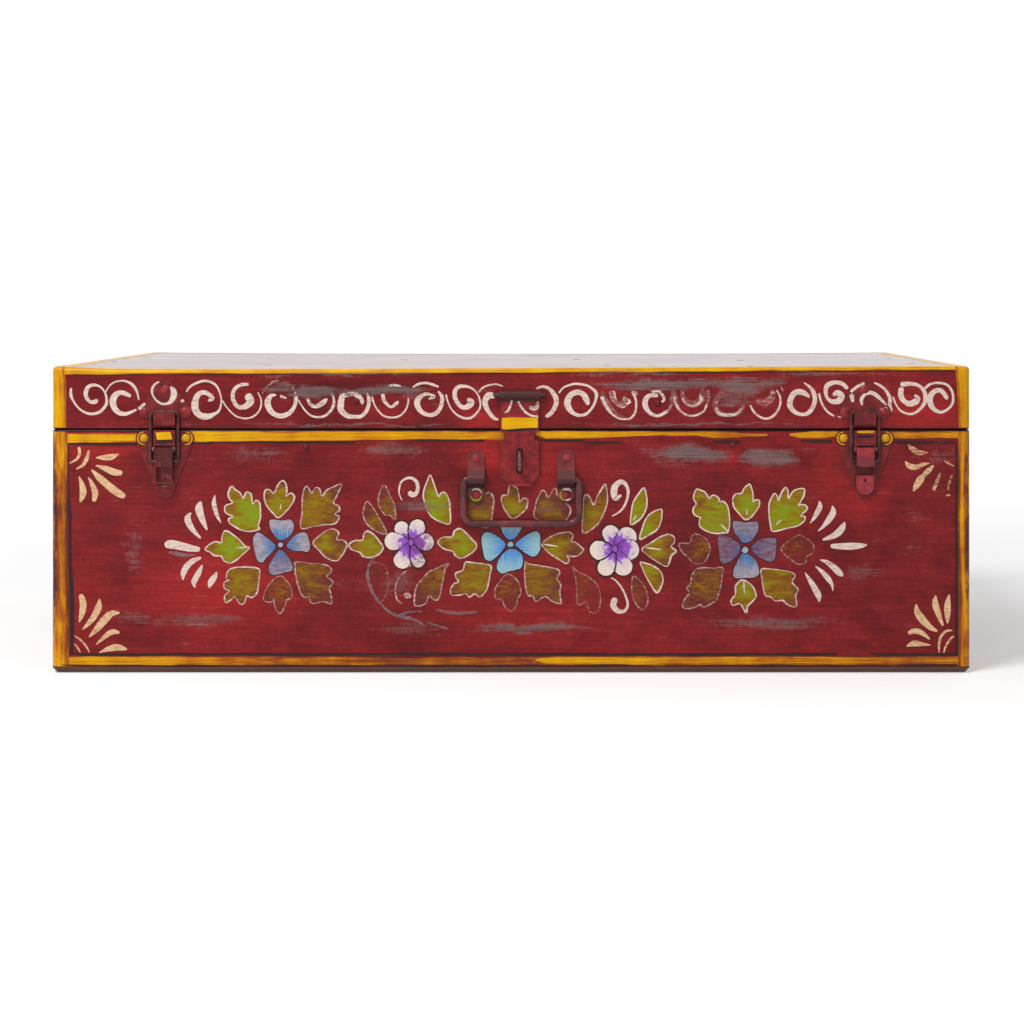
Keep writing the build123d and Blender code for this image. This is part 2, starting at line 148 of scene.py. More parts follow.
lamp = bpy.data.objects.new("softLamp", bpy.data.lights.new("softLamp", "AREA"))
lamp.data.shape = "DISK"
lamp.data.size = stageLook["lampSize"]
lamp.data.energy = stageLook["lampWatts"]
lamp.location = stageLook["lampPlace"]
lamp.rotation_euler = (Vector(stageLook["lampAim"]) - lamp.location).to_track_quat("-Z", "Y").to_euler()
scene.collection.objects.link(lamp)
print("stage and light made")

# ---- the trunk's skin: s runs round the plan from the middle of the front, v up the wall and over onto the top
trunk = {"halfLength": 380.7, "halfDepth": 228.6, "corner": 6.0, "topRound": 3.2, "top": 253.8, "sheet": 0.8}
trunk.update({"foot": 5.0, "rim": 201.4, "lidLow": 201.6, "edgeRound": 1.3, "hemWide": 2.5, "hemHigh": 3.0})
roundStart = trunk["top"] - trunk["topRound"]
roundRun = trunk["topRound"] * math.pi / 2
# How far the lid has sunk: its front edge by place along it, its back edge and its uneven middle at the most
frontSag = [(-381, 0), (-366, 0.7), (-350, 1.5), (-325, 2.1), (-250, 2.3), (-150, 2.2), (-50, 1.8), (50, 1.3)]
frontSag += [(150, 0.8), (250, 0.4), (340, 0.05), (381, 0)]
sunk = {"from": 243, "back": 1.5, "middle": 0.45, "uneven": 0.55, "long": 130, "deep": 90}


def smooth(low, high, value):
    t = min(max((value - low) / (high - low), 0.0), 1.0)
    return t * t * (3 - 2 * t)


def between(table, x):
    for (x0, y0), (x1, y1) in zip(table, table[1:]):
        if x <= x1:
            return y0 + (y1 - y0) * max(x - x0, 0) / (x1 - x0)
    return table[-1][1]


def lidSag(x, y, z):
    length, depth = 381, 228
    lifted = smooth(sunk["from"], roundStart, z)
    if not lifted:
        return 0.0
    near = smooth(60, -depth, y)
    far = smooth(-60, depth, y)
    edge = between(frontSag, x) * near + sunk["back"] * (1 - abs(x / length) ** 2.5) * far
    middle = smooth(length, 300, abs(x)) * smooth(depth, 150, abs(y))
    dent = sunk["middle"] + sunk["uneven"] * noise.noise(Vector((x / sunk["long"], y / sunk["deep"], 1.7)))
    return -lifted * (edge + middle * max(dent, 0))


def planPoint(s, inset):
    corner, halfLength, halfDepth = trunk["corner"], trunk["halfLength"], trunk["halfDepth"]
    side = 1 if s >= 0 else -1
    run = abs(s)
    flat, quarter, end = halfLength - corner, corner * math.pi / 2, 2 * (halfDepth - corner)
    bend = corner - inset
    if run <= flat:
        return side * run, inset - halfDepth, 0.0, -1.0
    run -= flat
    if run <= quarter:
        a = run / corner
        across, outward = math.sin(a), math.cos(a)
        return side * (flat + bend * across), corner - halfDepth - bend * outward, side * across, -outward
    run -= quarter
    if run <= end:
        return side * (halfLength - inset), corner - halfDepth + run, side * 1.0, 0.0
    run -= end
    if run <= quarter:
        a = run / corner
        across, outward = math.cos(a), math.sin(a)
        return side * (flat + bend * across), halfDepth - corner + bend * outward, side * across, outward
    run -= quarter
    return side * (flat - run), halfDepth - inset, 0.0, 1.0


def onTrunk(s, v, lift):
    over = min(max(v - roundStart, 0.0), roundRun) / trunk["topRound"]
    inset = trunk["topRound"] * (1 - math.cos(over))
    z = v if over == 0 else roundStart + trunk["topRound"] * math.sin(over)
    x, y, nx, ny = planPoint(s, inset)
    beyond = max(v - roundStart - roundRun, 0.0)
    x, y = x - nx * beyond, y - ny * beyond
    side = math.cos(over)
    z += math.sin(over) * lift + lidSag(x, y, z)
    return Vector((x + nx * side * lift, y + ny * side * lift, z)) * mm


def onPlate(proud):
    return lambda x, z, lift: Vector((x, -trunk["halfDepth"] - proud - lift, z)) * mm


def onTop(x, y, lift):
    return Vector((x, y, trunk["top"] + lift + lidSag(x, y, trunk["top"]))) * mm


# ---- painted films: every stroke is a closed skin of paint, thicker by a coat where it lies over another
film = {"under": -0.05, "over": 0.1, "coat": 0.06, "steps": 5, "apart": 0.008, "heights": 6}


def newPot():
    return {"points": [], "faces": [], "brush": [], "pieces": 0}


# The height of a film's face; films that follow each other in a pot differ a little, so none lie in one plane
def topOf(pot, coat):
    pot["pieces"] += 1
    return film["over"] + film["coat"] * coat + film["apart"] * (pot["pieces"] % film["heights"])


def rows(flat, size):
    return [tuple(flat[i : i + size]) for i in range(0, len(flat), size)]


# A soft curve through rows of numbers
def curve(points, closed=False, steps=film["steps"]):
    count = len(points)
    out = []
    for i in range(count if closed else count - 1):
        picks = [points[(i + k) % count] if closed else points[min(max(i + k, 0), count - 1)] for k in (-1, 0, 1, 2)]
        for j in range(steps):
            t = j / steps
            w = (-t + 2 * t**2 - t**3, 2 - 5 * t**2 + 3 * t**3, t + 4 * t**2 - 3 * t**3, t**3 - t**2)
            out.append(tuple(sum(w[k] * picks[k][c] for k in range(4)) / 2 for c in range(len(points[0]))))
    if not closed:
        out.append(tuple(points[-1]))
    return out


# A strip between two edges: each row is (s, v) of one edge and (s, v) of the other
def addStrip(pot, strip, on=onTrunk, coat=0, wear=0.0, across=1, closed=False):
    start = len(pot["points"])
    count, wide = len(strip), across + 1
    for lift in (topOf(pot, coat), film["under"]):
        run, last = 0.0, strip[0]
        for i, (s0, v0, s1, v1) in enumerate(strip):
            run, last = run + math.dist((s0, v0), last[:2]) / 100, (s0, v0)
            worn = wear[i] if isinstance(wear, list) else wear
            for j in range(wide):
                t = j / across
                pot["points"].append(on(s0 + (s1 - s0) * t, v0 + (v1 - v0) * t, lift))
                pot["brush"].append((run, 2 * t - 1, worn))
    lower = count * wide
    for i in range(count if closed else count - 1):
        a, b = start + i * wide, start + (i + 1) % count * wide
        for j in range(across):
            pot["faces"].append((a + j, a + j + 1, b + j + 1, b + j))
            pot["faces"].append((a + lower + j, b + lower + j, b + lower + j + 1, a + lower + j + 1))
        pot["faces"].append((a, b, b + lower, a + lower))
        pot["faces"].append((a + across, a + across + lower, b + across + lower, b + across))
    if not closed:
        for a in (start, start + (count - 1) * wide):
            for j in range(across):
                pot["faces"].append((a + j, a + j + lower, a + j + 1 + lower, a + j + 1))


# A filled shape; base and tip set the direction that its shading runs in
def addPatch(pot, outline, base, tip, on=onTrunk, coat=0, wear=0.0, soft=True):
    edge = curve(outline, True, 4) if soft else outline
    start, count = len(pot["points"]), len(edge)
    ax, az = tip[0] - base[0], tip[1] - base[1]
    size = ax * ax + az * az
    for lift in (topOf(pot, coat), film["under"]):
        for x, z in edge:
            dx, dz = x - base[0], z - base[1]
            pot["points"].append(on(x, z, lift))
            pot["brush"].append(((dx * ax + dz * az) / size, (dz * ax - dx * az) / size, wear))
    for tri in geometry.tessellate_polygon([[Vector((x, z, 0)) for x, z in edge]]):
        pot["faces"].append(tuple(start + i for i in tri))
        pot["faces"].append(tuple(start + count + i for i in reversed(tri)))
    for i in range(count):
        a, b = start + i, start + (i + 1) % count
        pot["faces"].append((a, b, b + count, a + count))


# A brush stroke along (x, z, width) rows; its ends are drawn out a little as a brush leaves them
def addStroke(pot, spine, on=onTrunk, coat=0, wear=0.0, closed=False, steps=film["steps"], ragged=0.07):
    line = curve(spine, closed, steps)
    strip = []
    for i, (x, z, w) in enumerate(line):
        last = len(line) - 1
        before = line[(i - 1) % len(line)] if closed else line[max(i - 1, 0)]
        after = line[(i + 1) % len(line)] if closed else line[min(i + 1, last)]
        dx, dz = after[0] - before[0], after[1] - before[1]
        run = math.hypot(dx, dz) or 1.0
        tx, tz = dx / run, dz / run
        a = w / 2 * (1 + ragged * noise.noise(Vector((x * 0.6, z * 0.6, 0))))
        b = w / 2 * (1 + ragged * noise.noise(Vector((x * 0.6, z * 0.6, 9))))
        row = (x - tz * a, z + tx * a, x + tz * b, z - tx * b)
        ends = [(-0.34, 0.3), (-0.24, 0.72)] if i == 0 else [(0.24, 0.72), (0.34, 0.3)] if i == last else []
        extra = []
        if not closed:
            for out, share in ends:
                cx, cz = x + tx * out * w, z + tz * out * w
                extra.append((cx - tz * a * share, cz + tx * a * share, cx + tz * b * share, cz - tx * b * share))
        strip += extra + [row] if i == 0 else [row] + extra
    addStrip(pot, strip, on, coat, wear, 1, closed)


# Strokes of one paint, each as its wear and its (x, z, width) rows in one run
def brushOn(pot, strokes, on=onTrunk, more=0.0, **how):
    for wear, spine in strokes:
        addStroke(pot, rows(spine, 3), on, wear=wear + more, **how)


def dress(mesh, name, material, body):
    piece = bpy.data.objects.new(name, mesh)
    scene.collection.objects.link(piece)
    mesh.materials.append(material)
    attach(piece, body)
    return piece


def pour(name, pot, material, body):
    mesh = bpy.data.meshes.new(name)
    mesh.from_pydata(pot["points"], [], pot["faces"])
    brush = mesh.attributes.new("brush", "FLOAT_VECTOR", "POINT")
    brush.data.foreach_set("vector", [c for point in pot["brush"] for c in point])
    shape = bmesh.new()
    shape.from_mesh(mesh)
    bmesh.ops.recalc_face_normals(shape, faces=shape.faces)
    shape.to_mesh(mesh)
    shape.free()
    print("painted:", name, len(mesh.polygons), "faces")
    return dress(mesh, name, material, body)


# ---- wear shared by every finish, as one node group: places are (x, z, half width, half height, strength) in mm
wearPlaces = {
    "scuffs": [
        (-192, 236, 16, 5.5, 0.7), (-162, 233, 26, 5.5, 0.95), (-105, 234, 48, 4.8, 0.95), (-75, 229, 22, 4, 0.5),
        (-135, 247.6, 100, 1.8, 0.7), (95, 248, 62, 1.8, 0.7), (128, 239, 60, 5.2, 1.0), (188, 237, 30, 8, 0.95),
        (215, 240, 16, 5, 0.8), (262, 249, 70, 3, 0.55), (182, 227, 22, 9, 0.6), (-130, 206, 105, 1.5, 0.75),
        (150, 206, 112, 1.5, 0.7), (-215, 181, 30, 9, 0.48), (-98, 184, 30, 7, 0.55), (-78, 139, 34, 6, 0.62),
        (-93, 74, 18, 14, 0.5), (148, 181, 36, 9, 0.95), (213, 178, 30, 9, 0.9), (134, 175, 26, 9, 0.4),
        (358, 180, 14, 9, 0.4), (-312, 100, 9, 30, 0.52), (-262, 44, 50, 7, 0.58), (-310, 46, 26, 9, 0.5),
        (15, 37, 58, 4.5, 0.8), (215, 41, 66, 7, 0.64), (292, 84, 17, 9, 0.42), (332, 102, 15, 8, 0.4),
        (-80, 36, 40, 6, 0.5),
    ],
    "reds": [
        (-245, 70, 62, 34, 0.9), (-22, 181, 20, 16, 1.0), (30, 172, 30, 22, 0.45), (290, 140, 22, 16, 0.6),
        (264, 158, 16, 24, 0.4), (-345, 186, 26, 12, 0.7), (-24, 210, 24, 8, 0.8), (338, 216, 34, 18, 0.75),
        (0, 45, 70, 22, 0.4), (-350, 60, 24, 40, 0.3), (181, 180, 9, 11, 0.6),
    ],
    "darks": [
        (-288, 165, 22, 22, 0.5), (292, 172, 22, 16, 0.4), (150, 120, 60, 40, 0.35), (-60, 170, 40, 30, 0.3),
        (-140, 237, 66, 9, 0.9),
    ],
}
seamHeight = 201.3  # where the lid meets the body
frontFace = -222.0  # the wear places lie on what stands before this
wearOutputs = {"Maroon": "Color", "Scuff": "Float", "Streak": "Float", "Weave": "Float", "Place": "Vector"}
wearGroup = bpy.data.node_groups.new("trunkWear", "ShaderNodeTree")
for socketName, kind in wearOutputs.items():
    wearGroup.interface.new_socket(name=socketName, in_out="OUTPUT", socket_type="NodeSocket" + kind)


# A noise with grains as long, deep and high as sizes says
def grains(add, place, sizes, detail, roughness=0.5):
    scaled = add("VectorMath", {0: place}, {1: [1 / size for size in sizes]}, operation="MULTIPLY")
    return add("TexNoise", {"Vector": scaled}, {"Scale": 1.0, "Detail": detail, "Roughness": roughness})


def buildWear(tree):
    add = partial(addNode, tree)
    place = add("VectorMath", {0: add("TexCoord").outputs["Object"]}, {"Scale": 1 / mm}, operation="SCALE")
    cut = add("SeparateXYZ", {0: place}).outputs
    front = add("Math", {0: cut["Y"]}, {1: frontFace}, operation="LESS_THAN")
    # ragged edges: the places are read through a wobble in waves 26 mm long and 9 mm high
    wobble = grains(add, place, (26, 26, 9), 5.0, 0.62).outputs["Color"]
    offset = add("VectorMath", {0: wobble}, {1: (0.5, 0.5, 0.5)}, operation="SUBTRACT")
    offset = add("VectorMath", {0: offset}, {1: (40, 0, 13)}, operation="MULTIPLY")
    moved = add("VectorMath", {0: place, 1: offset}, operation="ADD")
    sums = {}
    for kind, places in wearPlaces.items():
        outside, inside = (1.25, 0.45) if kind == "scuffs" else (1.4, 0.2)
        total = None
        for x, z, wide, high, strength in places:
            away = add("VectorMath", {0: moved}, {1: (x, 0, z)}, operation="SUBTRACT")
            away = add("VectorMath", {0: away}, {1: (1 / wide, 0, 1 / high)}, operation="MULTIPLY")
            away = add("VectorMath", {0: away}, operation="LENGTH")
            here = add("MapRange", {"Value": away}, limits(outside, inside, 0, strength))
            total = add("Math", {0: total, 1: here}, operation="MAXIMUM") if total else here
        sums[kind] = add("Math", {0: total, 1: front}, operation="MULTIPLY")
    # noises by size in mm: brush marks 70 long, cross scratches both ways, clouds of 90, blotches of 25, fine grain
    sizes = {"streak": (70, 1.8, 3.0), "across": (22, 0.9, 5.0), "upright": (0.9, 9, 4.0), "rub": (60, 10, 6.0)}
    sizes.update({"cloud": (90, 90, 3.0), "blotch": (28, 15, 4.0), "grain": (3.4, 3.4, 6.0)})
    fields = {}
    for name, (wide, high, detail) in sizes.items():
        fields[name] = grains(add, place, (wide, wide, high), detail, 0.64)
    upright = add("Math", {0: fields["upright"]}, {1: 0.6, 2: 0.2}, operation="MULTIPLY_ADD")
    weave = add("Math", {0: fields["across"], 1: upright}, operation="ADD")
    # worn spots: where place, scratches and grain together pass a limit
    rub = add("MapRange", {"Value": fields["rub"]}, limits(0.5, 0.76, 0, 0.46))
    share = add("Math", {0: sums["scuffs"], 1: rub}, operation="MAXIMUM")
    share = add("Math", {0: share}, {1: 1.35}, operation="MULTIPLY")
    marks = add("Math", {0: weave, 2: fields["grain"]}, {1: 2.1}, operation="MULTIPLY_ADD")
    for more in (fields["blotch"], share):
        marks = add("Math", {0: marks, 1: more}, operation="ADD")
    scuff = add("MapRange", {"Value": marks}, limits(3.58, 4.4))
    # maroon: cloudy, blotched, with redder and darker places
    mottled = add("Math", {0: fields["cloud"], 1: fields["blotch"]}, operation="ADD")
    shade = add("MapRange", {"Value": mottled}, limits(0.78, 1.22))
    paint = add("Mix", {"Factor": shade}, tones("#6C1418", "#8C2024"))
    for kind, tone in (("reds", "#AC2626"), ("darks", "#561216")):
        paint = add("Mix", {"Factor": sums[kind], "A": paint}, {"B": linear(tone)})
    # lighter and darker along the brush marks, scratches and grain, and black in the seam under the lid: painted shadow
    # of the gap there, with old dirt
    gapShadow = add("Math", {0: cut["Z"]}, {1: seamHeight}, operation="SUBTRACT")
    gapShadow = add("Math", {0: gapShadow}, operation="ABSOLUTE")
    shades = [(fields["streak"], 0.3, 0.7, 0.8, 1.16), (weave, 0.8, 1.2, 0.84, 1.17)]
    shades += [(fields["grain"], 0.3, 0.7, 0.86, 1.14), (gapShadow, 1.2, 2.1, 0.12, 1.0)]
    factor = None
    for source, *ends in shades:
        here = add("MapRange", {"Value": source}, limits(*ends))
        factor = add("Math", {0: factor, 1: here}, operation="MULTIPLY") if factor else here
    tint = add("VectorMath", {0: paint, "Scale": factor}, operation="SCALE")
    out = tree.nodes.new("NodeGroupOutput")
    join(out, {"Maroon": tint, "Scuff": scuff, "Streak": fields["streak"], "Weave": weave, "Place": place})


buildWear(wearGroup)


# A finish starts here: an empty material with the shared wear and a shader
def startFinish(name, **shine):
    material, add = startMaterial(name)
    wear = add("Group", node_tree=wearGroup).outputs
    shader = add("BsdfPrincipled", values=shine)
    add("OutputMaterial", {"Surface": shader})
    return material, add, wear, shader


# Brushed enamel on sheet steel under gloss varnish: deep colour, soft lamp reflections, rubbed places dull and grey
varnish = {"IOR": 1.5, "Specular IOR Level": 0.14, "Coat Weight": 0.06, "Coat Roughness": 0.1}
scuffLook = {"deep": "#4E3E40", "pale": "#95827F", "cover": 0.86}


def finishEnamel(add, wear, shader, colour, relief=0.06 * mm, scuffShare=1.0):
    grey = add("Mix", {"Factor": wear["Streak"]}, tones(scuffLook["deep"], scuffLook["pale"]))
    cover = {1: scuffShare * scuffLook["cover"]}
    share = add("Math", {0: wear["Scuff"]}, cover, operation="MULTIPLY", use_clamp=True)
    worn = add("Mix", {"Factor": share, "A": colour, "B": grey})
    rough = add("MapRange", {"Value": share}, limits(0, 1, 0.34, 0.58))
    # brush marks and the sheet's own slight unevenness, 60 mm across
    rolled = add("TexNoise", {"Vector": wear["Place"]}, {"Scale": 0.016, "Detail": 1.0})
    rolled = add("Math", {0: rolled}, {1: 9.0}, operation="MULTIPLY")
    height = add("Math", {0: rolled, 1: wear["Weave"]}, operation="ADD")
    bump = add("Bump", {"Height": height}, {"Strength": 0.5, "Distance": relief})
    join(shader, {"Base Color": worn, "Roughness": rough, "Normal": bump})


def trunkEnamel():
    material, add, wear, shader = startFinish("brushedMaroonEnamel", **varnish)
    # the flat top was varnished thick, lying down: it shines, and every upward face is a darker maroon
    upward = add("SeparateXYZ", {0: add("NewGeometry").outputs["Normal"]}).outputs["Z"]
    level = add("MapRange", {"Value": upward}, limits(0.8, 0.98))
    upwardDarker = add("Math", {0: level}, {1: 0.45}, operation="MULTIPLY")
    tone = add("Mix", {"Factor": upwardDarker, "A": wear["Maroon"]}, {"B": linear("#2E191B")})
    finishEnamel(add, wear, shader, tone)
    rubbed = add("MapRange", {"Value": wear["Streak"]}, limits(0.3, 0.7, 0.5, 0.66))
    gloss = add("Math", {0: level, 1: rubbed}, {2: 0.05}, operation="MULTIPLY_ADD")
    join(shader, {"Coat Weight": gloss})
    return material


# Thin paint without varnish, cloudy between two tones
def flatPaint(name, dull, cloud, deep, pale):
    material, add, wear, shader = startFinish(name, **{"IOR": 1.5, "Roughness": dull})
    cloud = add("TexNoise", {"Vector": wear["Place"]}, cloud)
    join(shader, {"Base Color": add("Mix", {"Factor": cloud}, tones(deep, pale))})
    return material


# How a film was brushed, as its points say: X and Y run along and across it, Z is its wear. Chips are about 6 by 2 mm,
# and the more of both there is, the further it is broken
def readBrush(add, wear):
    brush = add("Attribute", attribute_name="brush").outputs["Vector"]
    part = add("SeparateXYZ", {0: brush}).outputs
    chips = grains(add, wear["Place"], (6, 6, 2.2), 5.0, 0.65)
    return part, chips, add("Math", {0: chips, 1: part["Z"]}, operation="ADD")


# Where a film has gone: the better it keeps, the more it takes to break it through
def goneWhere(add, broken, keep=0.0):
    return add("MapRange", {"Value": broken}, limits(0.86 + keep, 1.16 + keep))


# A film of enamel, with the maroon showing where it has gone
def finishFilm(add, wear, shader, colour, gone, relief, scuffShare):
    mixed = add("Mix", {"Factor": gone, "A": colour, "B": wear["Maroon"]})
    finishEnamel(add, wear, shader, mixed, relief, scuffShare)


def spread(ramp, stops):
    band = ramp.color_ramp
    while len(band.elements) < len(stops):
        band.elements.new(0.5)
    for element, (place, tone) in zip(band.elements, stops):
        element.position, element.color = place, linear(tone)
    return ramp


# Yellow border enamel, brushed along the band: chrome yellow, thinning to orange and brown as it tires
yellowStops = [(0.0, "#F2C000"), (0.22, "#E4A800"), (0.42, "#D08604"), (0.58, "#AE5C0C"), (0.74, "#80391A")]
yellowStops += [(1.0, "#4C2020")]


def borderYellow():
    material, add, wear, shader = startFinish("brushedYellowBorderEnamel", **varnish)
    part, chips, broken = readBrush(add, wear)
    # hairs of the brush, 60 mm long and 1 mm wide, and clouds of 30 mm
    hairs = add("CombineXYZ", {axis: part[axis] for axis in "XYZ"})
    hairs = grains(add, hairs, (1 / 1.6, 1 / 4.2, 1 / 9), 5.0, 0.66)
    cloud = add("TexNoise", {"Vector": wear["Place"]}, {"Scale": 0.035, "Detail": 4.0, "Roughness": 0.6})
    # both edges of a band are thin and brown
    edge = add("Math", {0: part["Y"]}, operation="ABSOLUTE")
    edge = add("MapRange", {"Value": edge}, limits(0.72, 1, 0, 0.42))
    # and so are the trunk's four upright corners, chipped at half height
    cut = add("SeparateXYZ", {0: wear["Place"]}).outputs
    outer = add("Math", {0: cut["X"]}, operation="ABSOLUTE")
    corner = add("MapRange", {"Value": outer}, limits(375, 380))
    chipped = grains(add, wear["Place"], (7, 7, 24), 5.0, 0.7)
    for source, ends in ((chipped, (0.42, 0.6, 0, 1.2)), (cut["Z"], (200, 176)), (cut["Z"], (18, 50))):
        here = add("MapRange", {"Value": source}, limits(*ends))
        corner = add("Math", {0: corner, 1: here}, operation="MULTIPLY")
    tired = add("Math", {0: hairs}, {1: 1.5}, operation="MULTIPLY")
    for more in (cloud, part["Z"], edge, corner):
        tired = add("Math", {0: tired, 1: more}, operation="ADD")
    tired = add("MapRange", {"Value": tired}, limits(1.05, 2.35))
    colour = spread(add("ValToRGB", {"Fac": tired}), yellowStops)
    gone = goneWhere(add, broken, keep=0.45)
    finishFilm(add, wear, shader, colour, gone, relief=0.1 * mm, scuffShare=0.6)
    return material


# Off-white ornament, brushed thick on thin: warm white, thin and pinkish where the brush ran dry
def ornamentWhite(name, pale, deep):
    material, add, wear, shader = startFinish(name, **varnish)
    part, chips, broken = readBrush(add, wear)
    tone = add("MapRange", {"Value": chips}, limits(0.35, 0.72))
    colour = add("Mix", {"Factor": tone}, tones(pale, deep))
    rubbed = add("Math", {0: wear["Scuff"]}, {1: 0.5}, operation="MULTIPLY")
    scratched = add("Math", {0: wear["Weave"], 2: part["Z"]}, {1: 0.7}, operation="MULTIPLY_ADD")
    for more in (chips, rubbed):
        scratched = add("Math", {0: scratched, 1: more}, operation="ADD")
    thin = add("MapRange", {"Value": scratched}, limits(1.3, 1.8, 0, 0.93))
    gone = add("Math", {0: thin, 1: goneWhere(add, broken, keep=0.35)}, operation="MAXIMUM")
    finishFilm(add, wear, shader, colour, gone, relief=0.09 * mm, scuffShare=0.35)
    return material


# Lamp-black lining: thin near-black line that lets the maroon through
def liningBlack():
    material, add, wear, shader = startFinish("brushedLampBlackLining", **varnish)
    part, chips, broken = readBrush(add, wear)
    colour = add("Mix", {"Factor": chips}, tones("#1F1518", "#3E2628"))
    finishFilm(add, wear, shader, colour, goneWhere(add, broken), relief=0.08 * mm, scuffShare=0.8)
    return material


# Leaf green over ochre: bright at the heart of a leaf, olive at its rim, brown where age (brush Z) has taken the green
leafStops = [(0.0, "#7C9C12"), (0.07, "#88920E"), (0.2, "#8E8406"), (0.36, "#907004"), (0.5, "#8A5E0C")]
leafStops += [(0.66, "#7E4C18"), (0.9, "#6A2E28")]


def leafGreen():
    material, add, wear, shader = startFinish("brushedLeafGreenGlaze", **varnish)
    part, chips, broken = readBrush(add, wear)
    middle = add("Math", {0: part["X"]}, {1: 0.34}, operation="SUBTRACT")
    middle = add("Math", {0: middle, 1: middle}, operation="MULTIPLY")
    away = add("Math", {0: part["Y"], 1: part["Y"], 2: middle}, operation="MULTIPLY_ADD")
    blotch = grains(add, wear["Place"], (15, 15, 7), 4.0, 0.6)
    ageing = [(blotch, 0.3, 0.7, -0.26, 0.32), (away, 0.0, 0.2, -0.3, 0.1)]
    ageing += [(wear["Streak"], 0.35, 0.65, -0.07, 0.07), (chips, 0.35, 0.65, -0.16, 0.2)]
    age = part["Z"]
    for source, *ends in ageing:
        here = add("MapRange", {"Value": source}, limits(*ends))
        age = add("Math", {0: age, 1: here}, operation="ADD")
    age = add("MapRange", {"Value": age}, limits(-0.26, 0.98))
    colour = spread(add("ValToRGB", {"Fac": age}), leafStops)
    gone = goneWhere(add, broken, keep=0.35)
    finishFilm(add, wear, shader, colour, gone, relief=0.1 * mm, scuffShare=0.8)
    return material


# Petals brushed from the heart outwards: brush X runs from the heart (0) to the rim (1)
def petalPaint(name, stops, smear):
    material, add, wear, shader = startFinish(name, **varnish)
    part, chips, broken = readBrush(add, wear)
    # hairs of the brush, as long as the petal and 1.5 mm wide
    hairs = add("CombineXYZ", {axis: part[axis] for axis in "XY"})
    hairs = grains(add, hairs, (1 / 1.2, 1 / 16, 1), 3.0)
    pulled = add("MapRange", {"Value": hairs}, limits(0.3, 0.7, -0.28, 0.28))
    run = add("Math", {0: part["X"], 1: pulled}, operation="ADD")
    share = add("MapRange", {"Value": broken}, limits(0.6, 1.05, 0, 0.8))
    colour = spread(add("ValToRGB", {"Fac": run}), stops)
    colour = add("Mix", {"Factor": share, "A": colour}, {"B": linear(smear)})
    gone = goneWhere(add, broken, keep=0.2)
    finishFilm(add, wear, shader, colour, gone, relief=0.09 * mm, scuffShare=0.6)
    return material


# White petals with a purple blush: brush X and Y are measured from the flower's heart, 1 being 12 mm
def blushPaint(name, stops, smear):
    material, add, wear, shader = startFinish(name, **varnish)
    part, chips, broken = readBrush(add, wear)
    flat = add("CombineXYZ", {axis: part[axis] for axis in "XY"})
    ring = add("VectorMath", {0: flat}, operation="LENGTH")
    dabs = add("TexNoise", {"Vector": flat}, {"Scale": 3.2, "Detail": 3.0})  # dabs of 4 mm
    push = add("MapRange", {"Value": dabs}, limits(0.3, 0.7, -0.3, 0.3))
    run = add("Math", {0: ring, 1: push}, operation="ADD")
    run = add("MapRange", {"Value": run}, limits(0, 1.6))
    share = add("MapRange", {"Value": broken}, limits(0.72, 1.0, 0, 0.85))
    colour = spread(add("ValToRGB", {"Fac": run}), stops)
    colour = add("Mix", {"Factor": share, "A": colour}, {"B": linear(smear)})
    finishEnamel(add, wear, shader, colour, relief=0.09 * mm, scuffShare=0.6)
    return material


# Pressed steel fittings under the same maroon, rubbed pale and pinkish on the edges, which also paints a highlight
# along them.
# Bands are (low, high, tone), by height: paint brushed over them, and on the clips and the right lever painted shade in
# their hollows
def fittingPaint(name, deep, bright, share, bands=(), edgeWearAndHighlight=0.6, bareShare=0.12, gloss=0.04):
    material, add, wear, shader = startFinish(name, **{"IOR": 1.5, "Specular IOR Level": 0.2, "Coat Weight": gloss})
    # blotches of 8 mm, and specks of 1.5 mm
    grain = add("TexNoise", {"Vector": wear["Place"]}, {"Scale": 0.13, "Detail": 5.0, "Roughness": 0.66})
    fine = add("TexNoise", {"Vector": wear["Place"]}, {"Scale": 0.7, "Detail": 5.0, "Roughness": 0.7})
    mixed = add("MapRange", {"Value": grain}, limits(0.62 - share * 0.34, 0.86 - share * 0.34))
    colour = add("Mix", {"Factor": mixed}, tones(deep, bright))
    height = add("SeparateXYZ", {0: wear["Place"]}).outputs["Z"]
    ripple = 3.0  # how unevenly a band's edges run
    for low, high, tone in bands:
        wave = add("Math", {0: grain}, {1: ripple}, operation="MULTIPLY")
        z = add("Math", {0: height, 1: wave}, operation="ADD")
        above = add("Math", {0: z}, {1: low + ripple / 2}, operation="GREATER_THAN")
        below = add("Math", {0: z}, {1: high + ripple / 2}, operation="LESS_THAN")
        here = add("Math", {0: above, 1: below}, operation="MULTIPLY")
        colour = add("Mix", {"Factor": here, "A": colour}, {"B": linear(tone)})
    # edges: where a rounded normal leaves the flat one, within 0.6 mm; paled there as worn steel and as a painted
    # highlight
    rounded = add("Bevel", values={"Radius": 0.6 * mm}, samples=6)
    near = add("VectorMath", {0: rounded, 1: add("NewGeometry").outputs["Normal"]}, operation="DOT_PRODUCT")
    edge = add("MapRange", {"Value": near}, limits(0.985, 0.82, 0, edgeWearAndHighlight))
    broken = add("MapRange", {"Value": fine}, limits(0.4, 0.6))
    edge = add("Math", {0: edge, 1: broken}, operation="MULTIPLY")
    rubbed = add("MapRange", {"Value": fine}, limits(0.66 - bareShare * 0.3, 0.8, 0, 0.6))
    wornAndLitEdge = add("Math", {0: edge, 1: rubbed}, operation="MAXIMUM")
    steel = add("Mix", {"Factor": grain}, tones("#6C4A48", "#A88884"))
    worn = add("Mix", {"Factor": wornAndLitEdge, "A": colour, "B": steel})
    rough = add("MapRange", {"Value": fine}, limits(0, 1, 0.26, 0.5))
    bump = add("Bump", {"Height": fine}, {"Strength": 0.5, "Distance": 0.18 * mm})
    join(shader, {"Base Color": worn, "Roughness": rough, "Normal": bump})
    return material


